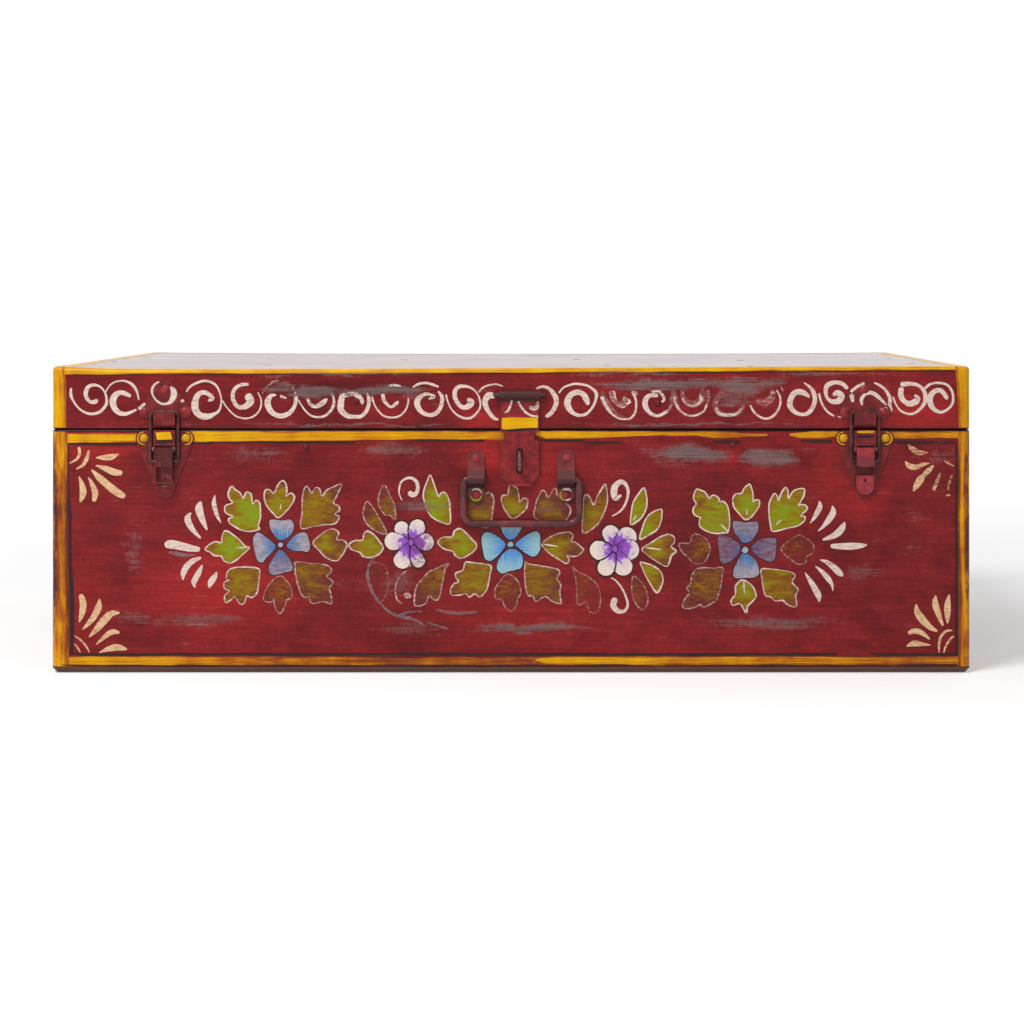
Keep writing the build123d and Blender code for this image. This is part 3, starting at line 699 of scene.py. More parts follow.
# Forged steel rubbed bare by the hand: grey brown metal with a dull polish
def handledSteel():
    material, add, wear, shader = startFinish("handRubbedDarkSteel", **{"Metallic": 0.75})
    # rubbed patches of 3 mm
    grain = add("TexNoise", {"Vector": wear["Place"]}, {"Scale": 0.35, "Detail": 6.0, "Roughness": 0.68})
    tone = spread(add("ValToRGB", {"Fac": grain}), [(0.34, "#3E2A28"), (0.5, "#66524E"), (0.68, "#96847C")])
    rough = add("MapRange", {"Value": grain}, limits(0, 1, 0.5, 0.3))
    bump = add("Bump", {"Height": grain}, {"Strength": 0.35, "Distance": 0.1 * mm})
    join(shader, {"Base Color": tone, "Roughness": rough, "Normal": bump})
    return material


enamel = trunkEnamel()
# Red oxide primer, brushed thin: flat, a little chalky, with clouds of 30 mm where the brush ran dry
oxide = flatPaint("brushedRedOxidePrimer", 0.62, {"Scale": 0.03, "Detail": 5.0}, "#5C2A24", "#7C3C33")
# Dark brown paint on the floor edge, with blotches of 8 mm from the dust held in its seam
dust = {"Scale": 0.12, "Detail": 6.0, "Roughness": 0.7}
seamBrown = flatPaint("wornBrownSeamPaint", 0.5, dust, "#2A120E", "#6E3A26")
yellow = borderYellow()
white = ornamentWhite("brushedOffWhiteOrnament", "#F0DDCE", "#CFAEA6")
cream = ornamentWhite("brushedCreamCornerOrnament", "#EECB9C", "#CC9870")
scrape = ornamentWhite("rubbedGreyScrape", "#8A787C", "#6E5458")
# a pink in the ornament's paint, for a painted highlight under the left latch's lever
pinkHighlight = ornamentWhite("paintedPinkHighlight", "#B0506A", "#8A3A4E")
black = liningBlack()
leaf = leafGreen()
skyStops = [(0.0, "#4A7EC4"), (0.35, "#5C95D2"), (0.62, "#86B4CC"), (1.0, "#9CC0C8")]
skyPetal = petalPaint("brushedSkyBluePetal", skyStops, "#7FA6BE")
fadedStops = [(0.0, "#2A70B8"), (0.3, "#4288C8"), (0.48, "#7E9ABC"), (0.68, "#AEB0BE"), (1.0, "#BEB0B6")]
fadedPetal = petalPaint("brushedFadedBluePetal", fadedStops, "#6A5470")
blushStops = [(0.0, "#7C3096"), (0.36, "#9450BE"), (0.52, "#A06AC8"), (0.6, "#D8C2D2"), (1.0, "#F0DECE")]
blush = blushPaint("brushedWhitePetalPurpleBlush", blushStops, "#7A3E52")
print("finishes mixed")


# ---- the steel skins: rings round the plan. The lid's run from the middle of the top out, down and back inside
skinGrid = {"front": 64, "end": 38, "bend": 5, "lidWall": 7, "bodyWall": 10}
topInsets = [227.6, 206, 184, 160, 136, 114, 94, 76, 60, 46, 34, 24, 16, 10, 6]


def ringPlan(inset):
    bend = max(trunk["corner"] - inset, 0.5)
    half = (trunk["halfLength"] - inset - bend, trunk["halfDepth"] - inset - bend)
    ring = []
    for turn in range(4):
        count = skinGrid["front"] if turn % 2 == 0 else skinGrid["end"]
        flat, out = half[turn % 2], half[(turn + 1) % 2] + bend
        side = [(-flat + 2 * flat * i / count, -out) for i in range(count)]
        arc = [math.radians(90 * i / skinGrid["bend"]) for i in range(skinGrid["bend"])]
        side += [(flat + bend * math.sin(a), bend - out - bend * math.cos(a)) for a in arc]
        across, along = [(1, 0), (0, 1), (-1, 0), (0, -1)][turn], [(0, 1), (-1, 0), (0, -1), (1, 0)][turn]
        ring += [(u * across[0] + w * along[0], u * across[1] + w * along[1]) for u, w in side]
    return ring


def arcRows(count, centre, bend, first, last):
    angles = [math.radians(first + (last - first) * i / count) for i in range(count + 1)]
    return [(centre[0] - bend * math.cos(a), centre[1] + bend * math.sin(a)) for a in angles]


def stepRows(count, inset, first, last):
    return [(inset, first + (last - first) * (i + 1) / count) for i in range(count)]


# Rows are (inset, height): first the outer face of the sheet, then the inner
def buildSkin(name, outer, inner, body, capped, node):
    shape = bmesh.new()
    rings = []
    for inset, z in outer + inner:
        points = [(x, y, z + (lidSag(x, y, z) if capped else 0)) for x, y in ringPlan(inset)]
        rings.append([shape.verts.new(Vector(point) * mm) for point in points])
    size, pairs = len(rings[0]), list(zip(rings, rings[1:]))
    if not capped:
        pairs.append((rings[-1], rings[0]))
    for r, (one, two) in enumerate(pairs):
        for i in range(size):
            face = shape.faces.new((one[i], two[i], two[(i + 1) % size], one[(i + 1) % size]))
            face.material_index = int(len(outer) <= r < len(outer) + len(inner) - 1)
    front, end = skinGrid["front"], skinGrid["end"] + 2 * skinGrid["bend"]
    for ring, index in ((rings[0], 0), (rings[-1], 1)) if capped else ():
        for i in range(front):
            far = 2 * front + end - i
            shape.faces.new((ring[i], ring[i + 1], ring[far - 1], ring[far])).material_index = index
        shape.faces.new(ring[front : front + end + 1]).material_index = index
        shape.faces.new(ring[2 * front + end :] + [ring[0]]).material_index = index
    bmesh.ops.recalc_face_normals(shape, faces=shape.faces)
    for face in shape.faces:
        face.smooth = True
    mesh = bpy.data.meshes.new(name)
    shape.to_mesh(mesh)
    shape.free()
    mesh.set_sharp_from_angle(angle=math.radians(40))
    skin = dress(mesh, name, enamel, body)
    mesh.materials.append(oxide)
    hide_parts(node)


def buildSkins():
    top, bend, sheet, edge = trunk["top"], trunk["topRound"], trunk["sheet"], trunk["edgeRound"]
    low, rim, foot, hem = trunk["lidLow"], trunk["rim"], trunk["foot"], trunk["hemWide"]
    hemTop, hemFoot = low + trunk["hemHigh"], rim - trunk["hemHigh"]
    outer = [(inset, top) for inset in topInsets] + arcRows(6, (bend, roundStart), bend, 90, 0)
    outer += stepRows(skinGrid["lidWall"], 0, roundStart, low + edge) + arcRows(3, (edge, low + edge), edge, 0, -90)[1:]
    outer += [(hem, low)]
    inner = [(hem, hemTop), (sheet, hemTop)] + stepRows(6, sheet, hemTop, roundStart)
    inner += arcRows(4, (bend, roundStart), bend - sheet, 0, 90)[1:]
    inner += [(inset, top - sheet) for inset in reversed(topInsets)]
    buildSkin("lidSkin", outer, inner, "lid", True, "lid_shell")
    outer = [(0, foot)] + stepRows(skinGrid["bodyWall"], 0, foot, rim - edge)
    outer += arcRows(3, (edge, rim - edge), edge, 0, 90)[1:] + [(hem, rim)]
    inner = [(hem, hemFoot), (sheet, hemFoot), (sheet, foot)]
    buildSkin("bodySkin", outer, inner, "carcass", False, "body_shell")


buildSkins()
print("skins made")

# ---- painted borders: yellow bands with a black line inside them, round every panel. Tables are (x or z, edge)
cornerTurn = trunk["corner"] * math.pi / 2
cornerStart = trunk["halfLength"] - trunk["corner"]
backCorner = cornerStart + cornerTurn + 2 * (trunk["halfDepth"] - trunk["corner"])
backMiddle = backCorner + cornerTurn + cornerStart
frontEnd = cornerStart + cornerTurn
bandStep = 9.0  # points along a band stand this far apart, and closer round the trunk's bends


# Stops along the skin between two places
def stops(first, last):
    count = math.ceil((last - first) / bandStep)
    marks = [first + (last - first) * i / count for i in range(count + 1)]
    for bend in (cornerStart, backCorner):
        marks += [side * (bend + cornerTurn * i / 10) for side in (-1, 1) for i in range(11)]
    return sorted({round(mark, 3) for mark in marks if first <= mark <= last})


# How a hand shakes: long and slow with something quicker on top
def waver(place, seed, size=0.55, length=24.0):
    slow = noise.noise(Vector((place / length, seed, 0.3)))
    return size * slow + size * 0.5 * noise.noise(Vector((place / 5, seed, 7.7)))


# A table that says the same all along
def even(value):
    return [(0, value), (1, value)]


# A band along the trunk: low and high are tables of (s, height); outside the table its end values go on
def addBand(pot, first, last, low, high, seed, across=1, wear=0.0, coat=0):
    strip = []
    for s in stops(first, last):
        strip.append((s, between(low, s) + waver(s, seed), s, between(high, s) + waver(s, seed + 3)))
    if first > -backMiddle:
        strip[0] = (first, (strip[0][1] + strip[0][3]) / 2, first, strip[0][3])
    if isinstance(wear, list):
        wear = [between(wear, row[0]) for row in strip]
    addStrip(pot, strip, onTrunk, coat, wear, across)


# A band up the trunk: left and right are tables of (height, s)
def addUpright(pot, first, last, left, right, seed, across=1, wear=0.0, coat=1):
    count = math.ceil((last - first) / bandStep)
    heights = [first + (last - first) * i / count for i in range(count + 1)]
    heights = sorted(heights + [v for v in (roundStart + roundRun * i / 8 for i in range(9)) if v < last])
    strip = []
    for v in heights:
        strip.append((between(left, v) + waver(v, seed, 0.4), v, between(right, v) + waver(v, seed + 3, 0.4), v))
    if isinstance(wear, list):
        wear = [between(wear, v) for v in heights]
    addStrip(pot, strip, onTrunk, coat, wear, across)


bodyTopLow = [(-380, 190.3), (-340, 190.5), (-320, 191.2), (-262, 191.3), (-200, 191.8), (-160, 192), (-130, 192.3)]
bodyTopLow += [(-84, 193.2), (-61, 193.2), (-25, 193), (-8, 192), (20, 193.5), (60, 194.2), (80, 195), (100, 195.7)]
bodyTopLow += [(125, 196.5), (150, 196.5), (168, 194), (188, 194), (194, 195.6), (212, 196.5), (232, 194.2)]
bodyTopLow += [(262, 194.5), (266, 195.6), (272, 194.4), (315, 194), (380, 194)]
bodyTopHigh = [(-380, 198.3), (-310, 198.3), (-262, 200.4), (186, 200.2), (192, 198.8), (214, 198.4), (232, 198.6)]
bodyTopHigh += [(250, 200.2), (380, 200.2)]
topWear = [(-380, 0.1), (-262, 0.12), (-100, 0.3), (-60, 0.22), (-8, 0.5), (20, 0.1), (110, 0.3), (190, 0.5)]
topWear += [(240, 0.24), (330, 0.5), (380, 0.3)]
lidTopLow = [(-380, 247.3), (-368, 247.5), (-345, 248.4), (-300, 249.9), (100, 250.1), (380, 251)]
footHigh = [(-400, 13.6), (-20, 13.4), (20, 13.9), (400, 13.8)]
footWear = [(-600, 0.3), (-380, 0.26), (-235, 0.34), (-180, 0.54), (-60, 0.66), (15, 0.72), (30, 0.5), (600, 0.5)]
freshLow, freshHigh = [(20, 9.2), (27, 7.2), (400, 6.8)], [(20, 11.4), (34, 13.2), (400, 13.4)]
freshWear = [(20, 0.1), (180, 0.36), (400, 0.5)]
overTop = roundStart + roundRun + 2.3
bands = {"footLow": 5.15, "bodyRun": (5.3, 199.9), "lidRun": (203.2, overTop), "topRing": (5.3, 13.0), "across": 12}
lining = {"side": 2.6, "line": 1.6, "end": 10.5, "low": 15.0, "high": 188.6, "wear": 0.12}

bodyYellow, lidYellow, bodyBlack, lidBlack = newPot(), newPot(), newPot(), newPot()
for seed, first, last in ((1.1, -backMiddle, -5.5), (2.3, 20.5, 212.5), (3.7, 231.0, backMiddle)):
    addBand(bodyYellow, first, last, bodyTopLow, bodyTopHigh, seed, wear=topWear)
addBand(bodyYellow, -backMiddle, backMiddle, even(bands["footLow"]), footHigh, 5.2, wear=footWear)
# a bright fresh stroke over the old foot band, pointed where the brush came down
addBand(bodyYellow, 20.5, backMiddle, freshLow, freshHigh, 5.9, wear=freshWear, coat=1)
addBand(lidYellow, -backMiddle, backMiddle, lidTopLow, even(overTop), 6.4, across=8, wear=0.16)
topEdge = [(*a, *b) for a, b in zip(*(ringPlan(inset) for inset in bands["topRing"]))]
addStrip(lidYellow, topEdge, onTop, across=3, closed=True)
# the yellow up the front's two ends: where it stops, by height, on the body and on the lid
uprights = {
    -1: {
        "body": [(5, 366.2), (60, 366.4), (120, 367), (250, 368)],
        "lid": [(202, 369), (230, 368.8), (240, 368.3), (250, 370)],
        "wear": [(5, 0.3), (30, 0.36), (70, 0.56), (150, 0.6), (175, 0.4), (200, 0.3)],
    },
    1: {"body": [(5, 370.8), (250, 370.6)], "lid": [(202, 371), (225, 370.4), (250, 368.8)], "wear": 0.36},
}
across = bands["across"]
for side, upright in uprights.items():
    bodyStop, lidStop = [[(z, side * s) for z, s in upright[part]] for part in ("body", "lid")]
    onEnd = even(side * (frontEnd + lining["end"]))
    addUpright(bodyYellow, *bands["bodyRun"], bodyStop, onEnd, 7.3 + side, across, upright["wear"], coat=2)
    addUpright(lidYellow, *bands["lidRun"], lidStop, onEnd, 9.1 + side, across, wear=0.1)
    onEnd = even(side * (backCorner - lining["end"]))
    onBack = even(side * (backCorner + cornerTurn + lining["end"]))
    addUpright(bodyYellow, *bands["bodyRun"], onEnd, onBack, 11.3 + side, across, wear=0.35, coat=2)
    addUpright(lidYellow, *bands["lidRun"], onEnd, onBack, 13.1 + side, across, wear=0.2)
    # lining on the ends and the back, set in from the yellow; on the back it runs to the middle
    for first, last in ((frontEnd, backCorner), (backCorner + cornerTurn, backMiddle)):
        upTo = [first + lining["end"] + lining["side"]]
        if last < backMiddle:
            last -= lining["end"] + lining["side"]
            upTo.append(last)
        run = sorted((side * upTo[0], side * last))
        for low in (lining["low"], lining["high"]):
            addBand(bodyBlack, *run, even(low), even(low + lining["line"]), 15 + low, wear=lining["wear"])
        for s in upTo:
            line = [even(side * s + d) for d in (-lining["line"] / 2, lining["line"] / 2)]
            lineTop = lining["high"] + lining["line"]
            addUpright(bodyBlack, lining["low"], lineTop, *line, 17 + s, wear=lining["wear"], coat=2)
# the lining in front: (first x, last x, low, high, wear)
frontLining = [(-367, -310, 188.4, 190.2, 0.05), (-262, -248, 189.4, 191, 0.3), (-250, -130, 190.2, 191.5, 0.12)]
frontLining += [(-80, -22, 191.5, 193, 0.15), (22, 60, 191.4, 193.2, 0.1), (60, 92, 190, 191.6, 0.1)]
frontLining += [(168, 190, 189.8, 192, 0.1), (240, 266, 190.6, 193, 0.05), (318, 350, 189.6, 192.4, 0.05)]
frontLining += [(350, 369, 190, 191.4, 0.3), (-364, 270, 14.5, 16.2, 0.08), (298, 369, 14.5, 16.2, 0.08)]
frontLining += [(-372, 370, 5.15, 6.6, 0.1)]
for number, (first, last, low, high, wear) in enumerate(frontLining):
    addBand(bodyBlack, first, last, even(low), even(high), 20.5 + number, wear=wear, coat=2)
# and up its two ends: (height, left edge, right edge), from the foot
leftLining = [(15, -365.4, -363.2), (30, -365.0, -362.2), (60, -365.4, -362.3), (90, -366.4, -364.0)]
leftLining += [(132, -366.6, -364.2), (150, -367.5, -366.3), (190, -367.7, -366.5)]
rightLining = [(15, 368.2, 369.8), (40, 368.0, 369.9), (110, 368.2, 369.8), (190, 368.6, 369.9)]
for table, wear in ((leftLining, 0.08), (rightLining, 0.12)):
    left, right = [[(row[0], row[k]) for row in table] for k in (1, 2)]
    addUpright(bodyBlack, table[0][0], table[-1][0], left, right, left[-1][1], wear=wear, coat=2)
pour("bodyBorderYellow", bodyYellow, yellow, "carcass")
pour("lidBorderYellow", lidYellow, yellow, "lid")
pour("bodyLiningBlack", bodyBlack, black, "carcass")
# a thin line under the lid's yellow, and blisters on its top
addBand(lidBlack, -366, 368, [(x, z - 0.9) for x, z in lidTopLow], lidTopLow, 41.5, wear=0.26, coat=1)
blisters = [-231.7, 21, -215.6, -118, -103, -11, 57, 1, 81.5, -150, 118.7, -188, 206, -43, 201, -201, 350, 21]
blisters += [347, -133, -353, 54, -359, -74]
for x, y in rows(blisters, 2):
    blister = [(x - 3, y, 0.8), (x, y + 0.8, 2.2), (x + 3, y - 0.3, 0.7)]
    addStroke(lidBlack, blister, onTop, wear=0.1, ragged=0.6)
pour("lidLiningBlack", lidBlack, black, "lid")

# ---- the leaves: age 0 is fresh green, 1 is worn brown. The green runs from the stem to the tip
leaves = {
    "leftUpperLeft": (0.1, (-208.6, 119.1), (-231.5, 154.6), [-231.5, 154.6, -228.8, 152, -224.6, 149.2,
        -221.9, 144.6, -220, 148.8, -218.1, 149.8, -215.4, 147.7, -214, 140, -211.5, 142.7, -208.5, 141.2,
        -207.7, 136.2, -207.7, 128.2, -209.5, 121.8, -208.6, 119.1, -215.9, 117.1, -223.2, 118.2, -228.6, 120.9,
        -233.2, 124.1, -233.9, 127.7, -230.5, 129.5, -236.4, 132.7, -236.8, 138.2, -230.9, 140.9, -233.6, 144.5,
        -234.2, 149.2]),
    "leftUpper": (0.25, (-192.7, 128.5), (-189.2, 159.2), [-192.7, 128.5, -196.9, 131.9, -200.8, 136.2, -203.5, 140.8,
        -204.5, 146.2, -203.5, 151.2, -200, 151.7, -196.5, 148.8, -193.1, 155.8, -189.2, 159.2, -186.5, 156.2,
        -185.8, 150.8, -186.5, 146.2, -183.1, 148.8, -180.4, 147.7, -179.6, 143.8, -183.1, 137.7, -186.9, 133.5]),
    "leftUpperRight": (0.55, (-174, 120), (-140.4, 156.2), [-174.1, 120, -164.1, 121.1, -155, 122.7, -145.9, 123.6,
        -142.3, 129.2, -146.2, 131.5, -142.3, 134.6, -143.1, 138.5, -146.9, 140.4, -144.6, 146.2, -140.4, 156.2,
        -147.7, 153.8, -153.1, 150.8, -156.5, 146.5, -158.5, 151.9, -160.8, 153.5, -163.1, 152.3, -165.4, 148.8,
        -168.1, 153.8, -170, 154.2, -171.5, 151.9, -172.7, 146.2, -173.2, 138.5, -173.1, 132.3]),
    "leftWest": (0.15, (-216.8, 103.5), (-253.6, 102.3), [-253.6, 102.3, -249.5, 106.5, -245, 108.6, -240, 108,
        -239.7, 111.8, -238.2, 116.4, -235.9, 117.7, -230.5, 114.5, -225, 110, -220, 104.5, -216.8, 103.5,
        -223.2, 97.3, -228.6, 92.7, -233.2, 90.9, -238.2, 93.2, -240, 96.4, -245.9, 97.3, -249.5, 100]),
    "leftEast": (0.45, (-164.1, 107.7), (-135.9, 105.5), [-164.1, 107.7, -158.6, 113.6, -152.3, 118.2, -146.8, 119.1,
        -142.7, 115.9, -144.5, 110.5, -139.5, 110, -135.9, 105.5, -141.4, 95.5, -145.9, 92.7, -153.2, 95.5,
        -158.6, 100.9]),
    "leftLowerLeft": (0.45, (-209, 87), (-236, 58), [-218.6, 87.5, -227.7, 87.3, -233.2, 85.5, -235.5, 81.8,
        -235.7, 77.7, -233.2, 77.3, -237.7, 74.5, -237.3, 70, -233.6, 67.7, -237.3, 63.6, -236.4, 58.2, -231.4, 60.9,
        -228.6, 62.7, -225, 57.5, -221.4, 57.5, -218.6, 63.6, -215, 62.3, -210.5, 66.4, -209.1, 74.5, -208.2, 82.7,
        -209.5, 86.4]),
    "leftLower": (0.8, (-192.3, 80), (-191.6, 49), [-192.3, 80, -196.8, 77.3, -201.4, 71.8, -204.1, 66.4, -205, 60,
        -198.6, 58.6, -196.8, 62.3, -195.9, 55.5, -191.6, 49, -187, 56, -186, 60, -181.5, 63, -182, 70, -185, 75,
        -189, 79.5]),
    "leftLowerRight": (0.7, (-178, 91.8), (-149, 57.3), [-177.7, 91.8, -164.1, 90.5, -154.1, 89.5, -149.1, 86.4,
        -149.5, 82.7, -152.7, 80, -147.7, 75.5, -150.5, 70, -149.1, 64.5, -149.1, 57.3, -155.9, 59.1, -162.3, 57.5,
        -165.9, 58.2, -167.3, 62.3, -171.4, 62.7, -175, 67.7, -178.2, 80, -179.1, 88.2]),
    "farEast": (0.3, (-105.9, 103.6), (-134.1, 106.4), [-134.1, 106.4, -129.5, 109.5, -123.2, 110, -121.8, 115,
        -118.6, 117.3, -113.2, 114.1, -108.6, 108.2, -105.9, 103.6, -109.5, 98.2, -116.8, 95.5, -122.3, 96.4,
        -125.9, 100, -132.3, 102.3]),
    "slimOne": (0.7, (-104.5, 115.5), (-119.1, 141.8), [-119.1, 141.8, -121.8, 137.3, -122.7, 130.9, -119.5, 123.6,
        -113.2, 118.2, -105.9, 115, -103.2, 116.4, -107.7, 125.5, -114.1, 136.4]),
    "slimTwo": (0.75, (-97, 127.5), (-104.8, 155.8), [-104.8, 155.8, -108.5, 150, -110, 143.1, -108.8, 136.9,
        -104.2, 130.8, -100.5, 130.5, -95.9, 127.3, -96.5, 138.5, -100.4, 146.9]),
    "faintOne": (0.95, (-108, 91), (-109, 58), [-113.5, 91.5, -119, 85, -119.5, 77, -115, 66, -109, 58, -103, 66,
        -102, 78, -104, 88]),
    "midTallLeft": (0.15, (-57, 124), (-66.8, 163.8), [-66.8, 163.8, -63.5, 155.4, -60, 146.2, -58.1, 148.8,
        -55.4, 149.6, -52.7, 146.9, -51.2, 142, -50.5, 135, -50.5, 124, -57, 124.5, -63.6, 127.7, -68, 132,
        -71.2, 140, -72.7, 146.9, -71.9, 152.3, -69.6, 158.5]),
    "midWest": (0.25, (-28.6, 106.4), (-60.5, 108.6), [-60.5, 108.6, -56.4, 112.3, -49.1, 112.7, -46.8, 117.3,
        -42.7, 119.5, -38.2, 116.8, -32.7, 110.9, -28.6, 106.4, -30, 101.8, -36.4, 96.8, -41.8, 95, -46.4, 97.3,
        -48.2, 100.5, -54.5, 102.3, -59.1, 105.5]),
    "behindClipLeft": (0.6, (-18, 121), (-36, 148), [-36, 148, -30, 149, -21.9, 147.7, -19.6, 149.2, -16.5, 148.5,
        -14.2, 143.8, -15, 136.2, -15.9, 128.2, -18, 121, -25, 121, -33, 124, -37, 131, -37.5, 140]),
    "underHasp": (0.45, (1.8, 127.7), (-0.4, 155.4), [-0.4, 155.4, -1.9, 152.3, -2.7, 147.7, -6.5, 146.9, -8.1, 143.8,
        -6.9, 139.2, -4.2, 133.8, 1.8, 127.7, 11.5, 134.6, 13.5, 139.2, 13.8, 143.1, 11.5, 144.6, 9.2, 143.8,
        7.3, 141.2, 6.5, 146.2, 5.8, 150.8, 4, 154]),
    "behindClipRight": (0.65, (30, 124), (37.7, 151.2), [20.4, 138.5, 21.5, 143.1, 23.8, 147.7, 25.8, 151.2,
        28.5, 149.6, 30.8, 145, 33.1, 148.5, 35.8, 152.7, 37.7, 151.2, 38.5, 146.9, 44, 142, 49.2, 136.2, 48, 130,
        42, 124, 30, 124, 19.5, 129]),
    "midEast": (0.5, (25.5, 106.4), (60, 101.8), [25.5, 106.4, 30, 110.9, 36.4, 114.5, 43.6, 116.2, 48.6, 116.5,
        51.4, 113.6, 50, 108.6, 53.2, 108.2, 57.7, 104.5, 60, 101.8, 55.9, 97.3, 50.5, 96.4, 46.4, 97.3, 48.2, 93.6,
        45.9, 90.5, 40.5, 93.6, 31.8, 99.1, 27.3, 103.6]),
    "midLowerLeft": (0.4, (-17, 88), (-49.5, 66), [-38.2, 90.9, -35.5, 91.8, -29.1, 90.9, -20.9, 90, -16.4, 88.2,
        -17.3, 81.8, -18.6, 74.5, -20, 69.1, -23.6, 64.5, -26.4, 62.7, -30, 65.5, -34.5, 62.7, -37.3, 65.5,
        -41.8, 64.5, -49.1, 64.5, -50, 69.1, -47.3, 73.6, -43.6, 75.5, -45.9, 79.5, -45.5, 82.7, -40, 85]),
    "midLower": (0.85, (-3.2, 81.8), (0, 50.9), [-3.2, 81.8, -10, 74.5, -13.2, 69.1, -12.7, 61.8, -7.3, 60.5,
        -5.5, 55.5, 0, 50.9, 4.5, 55.5, 5.5, 60.9, 8.2, 66.4, 6.8, 73.6, 2.7, 79.1]),
    "midLowerRight": (0.6, (11.8, 91.8), (41.4, 57.3), [11.8, 91.8, 13.6, 90.5, 21.8, 89.1, 31.8, 87.3, 38.2, 85.9,
        40.5, 82.7, 38.2, 78.2, 41.4, 72.7, 40.5, 68.2, 40.9, 62.7, 41.4, 57.3, 34.5, 59.1, 28.2, 63.2, 20.9, 59.1,
        18.2, 63.6, 14.5, 64.1, 12.3, 70, 11.4, 80.9]),
    "wornLowerLeft": (0.7, (-51.8, 90.5), (-79, 56), [-51.8, 90.5, -54.5, 86.4, -55.5, 80.9, -57.7, 70.9, -59.1, 63.6,
        -61.8, 60, -65.5, 61.8, -67.7, 64.5, -70.9, 57.3, -79.1, 55.5, -80, 62.7, -78.2, 71.8, -73.6, 77.3,
        -68.2, 83.6, -61.8, 86.4]),
    "brownFive": (0.9, (51.4, 88.2), (70, 50), [51.4, 88.2, 54.1, 84.5, 58.6, 82.3, 65.9, 78.2, 71.4, 72.7,
        74.1, 64.5, 73.6, 55.5, 70.5, 50, 65, 50.9, 62.3, 59.1, 59.5, 57.3, 55, 57.3, 54.5, 68.2, 53.6, 77.3]),
    "slimThree": (0.1, (99.1, 123.6), (110.4, 153.1), [110.4, 153.1, 105.4, 147.7, 101.5, 141.5, 100, 134.6,
        99.1, 123.6, 103.2, 124.5, 108.6, 129.1, 111.8, 135.5, 112.7, 142.7]),
    "slimFour": (0.15, (106.8, 110.9), (124.5, 135.5), [124.5, 135.5, 116.8, 132.7, 112.3, 128.2, 109.5, 121.8,
        106.8, 110.9, 113.2, 113.6, 120.5, 118.2, 124.1, 124.5, 125, 130]),
    "heartEast": (0.35, (108.6, 102.7), (135.5, 105), [108.6, 102.7, 116.8, 108.2, 124.1, 112.7, 130.5, 114.7,
        135, 112.7, 135.5, 108.2, 132.7, 104.5, 136.8, 100.9, 133.2, 97.3, 131.4, 91.8, 129.5, 88.2, 125.9, 89.1,
        118.6, 93.6, 112.3, 98.2]),
    "slimFive": (0.25, (107.3, 91.4), (120.9, 66.4), [107.3, 91.4, 112.3, 90.5, 118.6, 88.2, 124.1, 83.6, 125.9, 78.2,
        125, 72.7, 120.9, 66.4, 115, 74.5, 111.4, 80.9, 109.1, 86.4]),
    "slimSix": (0.85, (101.4, 80), (108.6, 52.3), [101.4, 80, 106.8, 76.4, 111.4, 70, 113.6, 60.9, 111.8, 54.5,
        108.6, 52.3, 104.1, 56.4, 100.9, 63.6, 100, 71.8]),
    "heartNorth": (0.5, (60.5, 115.5), (78.1, 156.2), [61.5, 147.3, 64.6, 146.5, 68.5, 139.2, 70.8, 144.6,
        74.6, 151.5, 78.1, 156.2, 79.6, 150, 80, 143.1, 78.5, 136.2, 75, 128.2, 70.5, 121.8, 60.5, 115.5, 59.1, 122.7,
        60, 136.4, 60.5, 144.5]),
    "rightUpperLeft": (0.15, (180, 117), (153.5, 151.9), [151.2, 145, 153.5, 140, 151, 136, 152, 131, 157, 128.5,
        156, 126, 157, 121, 163, 117, 170, 115.5, 176.5, 116, 180, 117, 181.2, 125, 180.5, 134, 179, 139, 176, 142,
        173, 141.5, 172, 139, 172.5, 144, 169, 147, 166, 146.5, 164.5, 144.5, 162, 148, 160.4, 150, 156.5, 151.5,
        153.5, 151.9]),
    "rightUpper": (0.15, (194, 127), (197.7, 156.2), [194, 127, 189, 132, 185, 137, 183.8, 142, 184.6, 146.2,
        187.3, 148.5, 191.2, 148.8, 193.5, 153.1, 197.7, 156.2, 199.6, 152.3, 200.8, 146.2, 200.5, 142, 203.5, 143.5,
        205.8, 142.3, 205.8, 138.5, 203.5, 134.6, 199, 129]),
    "rightUpperRight": (0.1, (216.5, 117.5), (243, 152.3), [216.5, 117.5, 215, 123, 213.8, 132, 214, 140,
        215.8, 144.6, 218.5, 148.5, 220.8, 146.2, 221.5, 142.3, 223.5, 147.7, 227.3, 153.5, 229.6, 150.8, 230, 144.6,
        233.5, 150, 238.1, 152.3, 243.1, 152.3, 242.7, 146.9, 239.6, 140.8, 238.1, 138.5, 241.5, 139.5, 245, 138,
        245, 135, 240, 130, 243.5, 129.5, 243, 126, 238, 122, 230, 120, 222, 118]),
    "rightWest": (0.8, (165, 104), (139, 106), [139, 106, 142, 107.5, 148, 107.5, 150, 113, 153, 115, 159, 113,
        163, 109, 165, 102, 162, 94, 158, 90.5, 151, 91, 147, 95.5, 142, 100]),
    "rightEast": (0.9, (224, 102), (251, 103), [224, 102, 230, 109, 239, 114, 245, 111, 250, 107, 251, 100, 245, 96,
        244, 91, 238, 90, 233, 93]),
    "rightLowerLeft": (0.75, (175.5, 87), (142, 54.5), [175.5, 87, 168, 86.8, 160, 87, 154, 86, 150, 81, 149, 74,
        145.5, 70, 148, 66.5, 144, 61, 142.3, 54.5, 147.7, 53.2, 153.2, 54.5, 156.8, 56.4, 160.5, 54.5, 170, 60,
        172, 65, 174, 72, 175, 80]),
    "rightLower": (0.3, (192, 77), (195, 49.6), [192, 77, 187, 73, 186, 70, 186, 65, 182.5, 60, 184, 56, 190, 57,
        195, 49.6, 196, 55, 200, 59, 202.5, 62, 203, 65, 200, 72]),
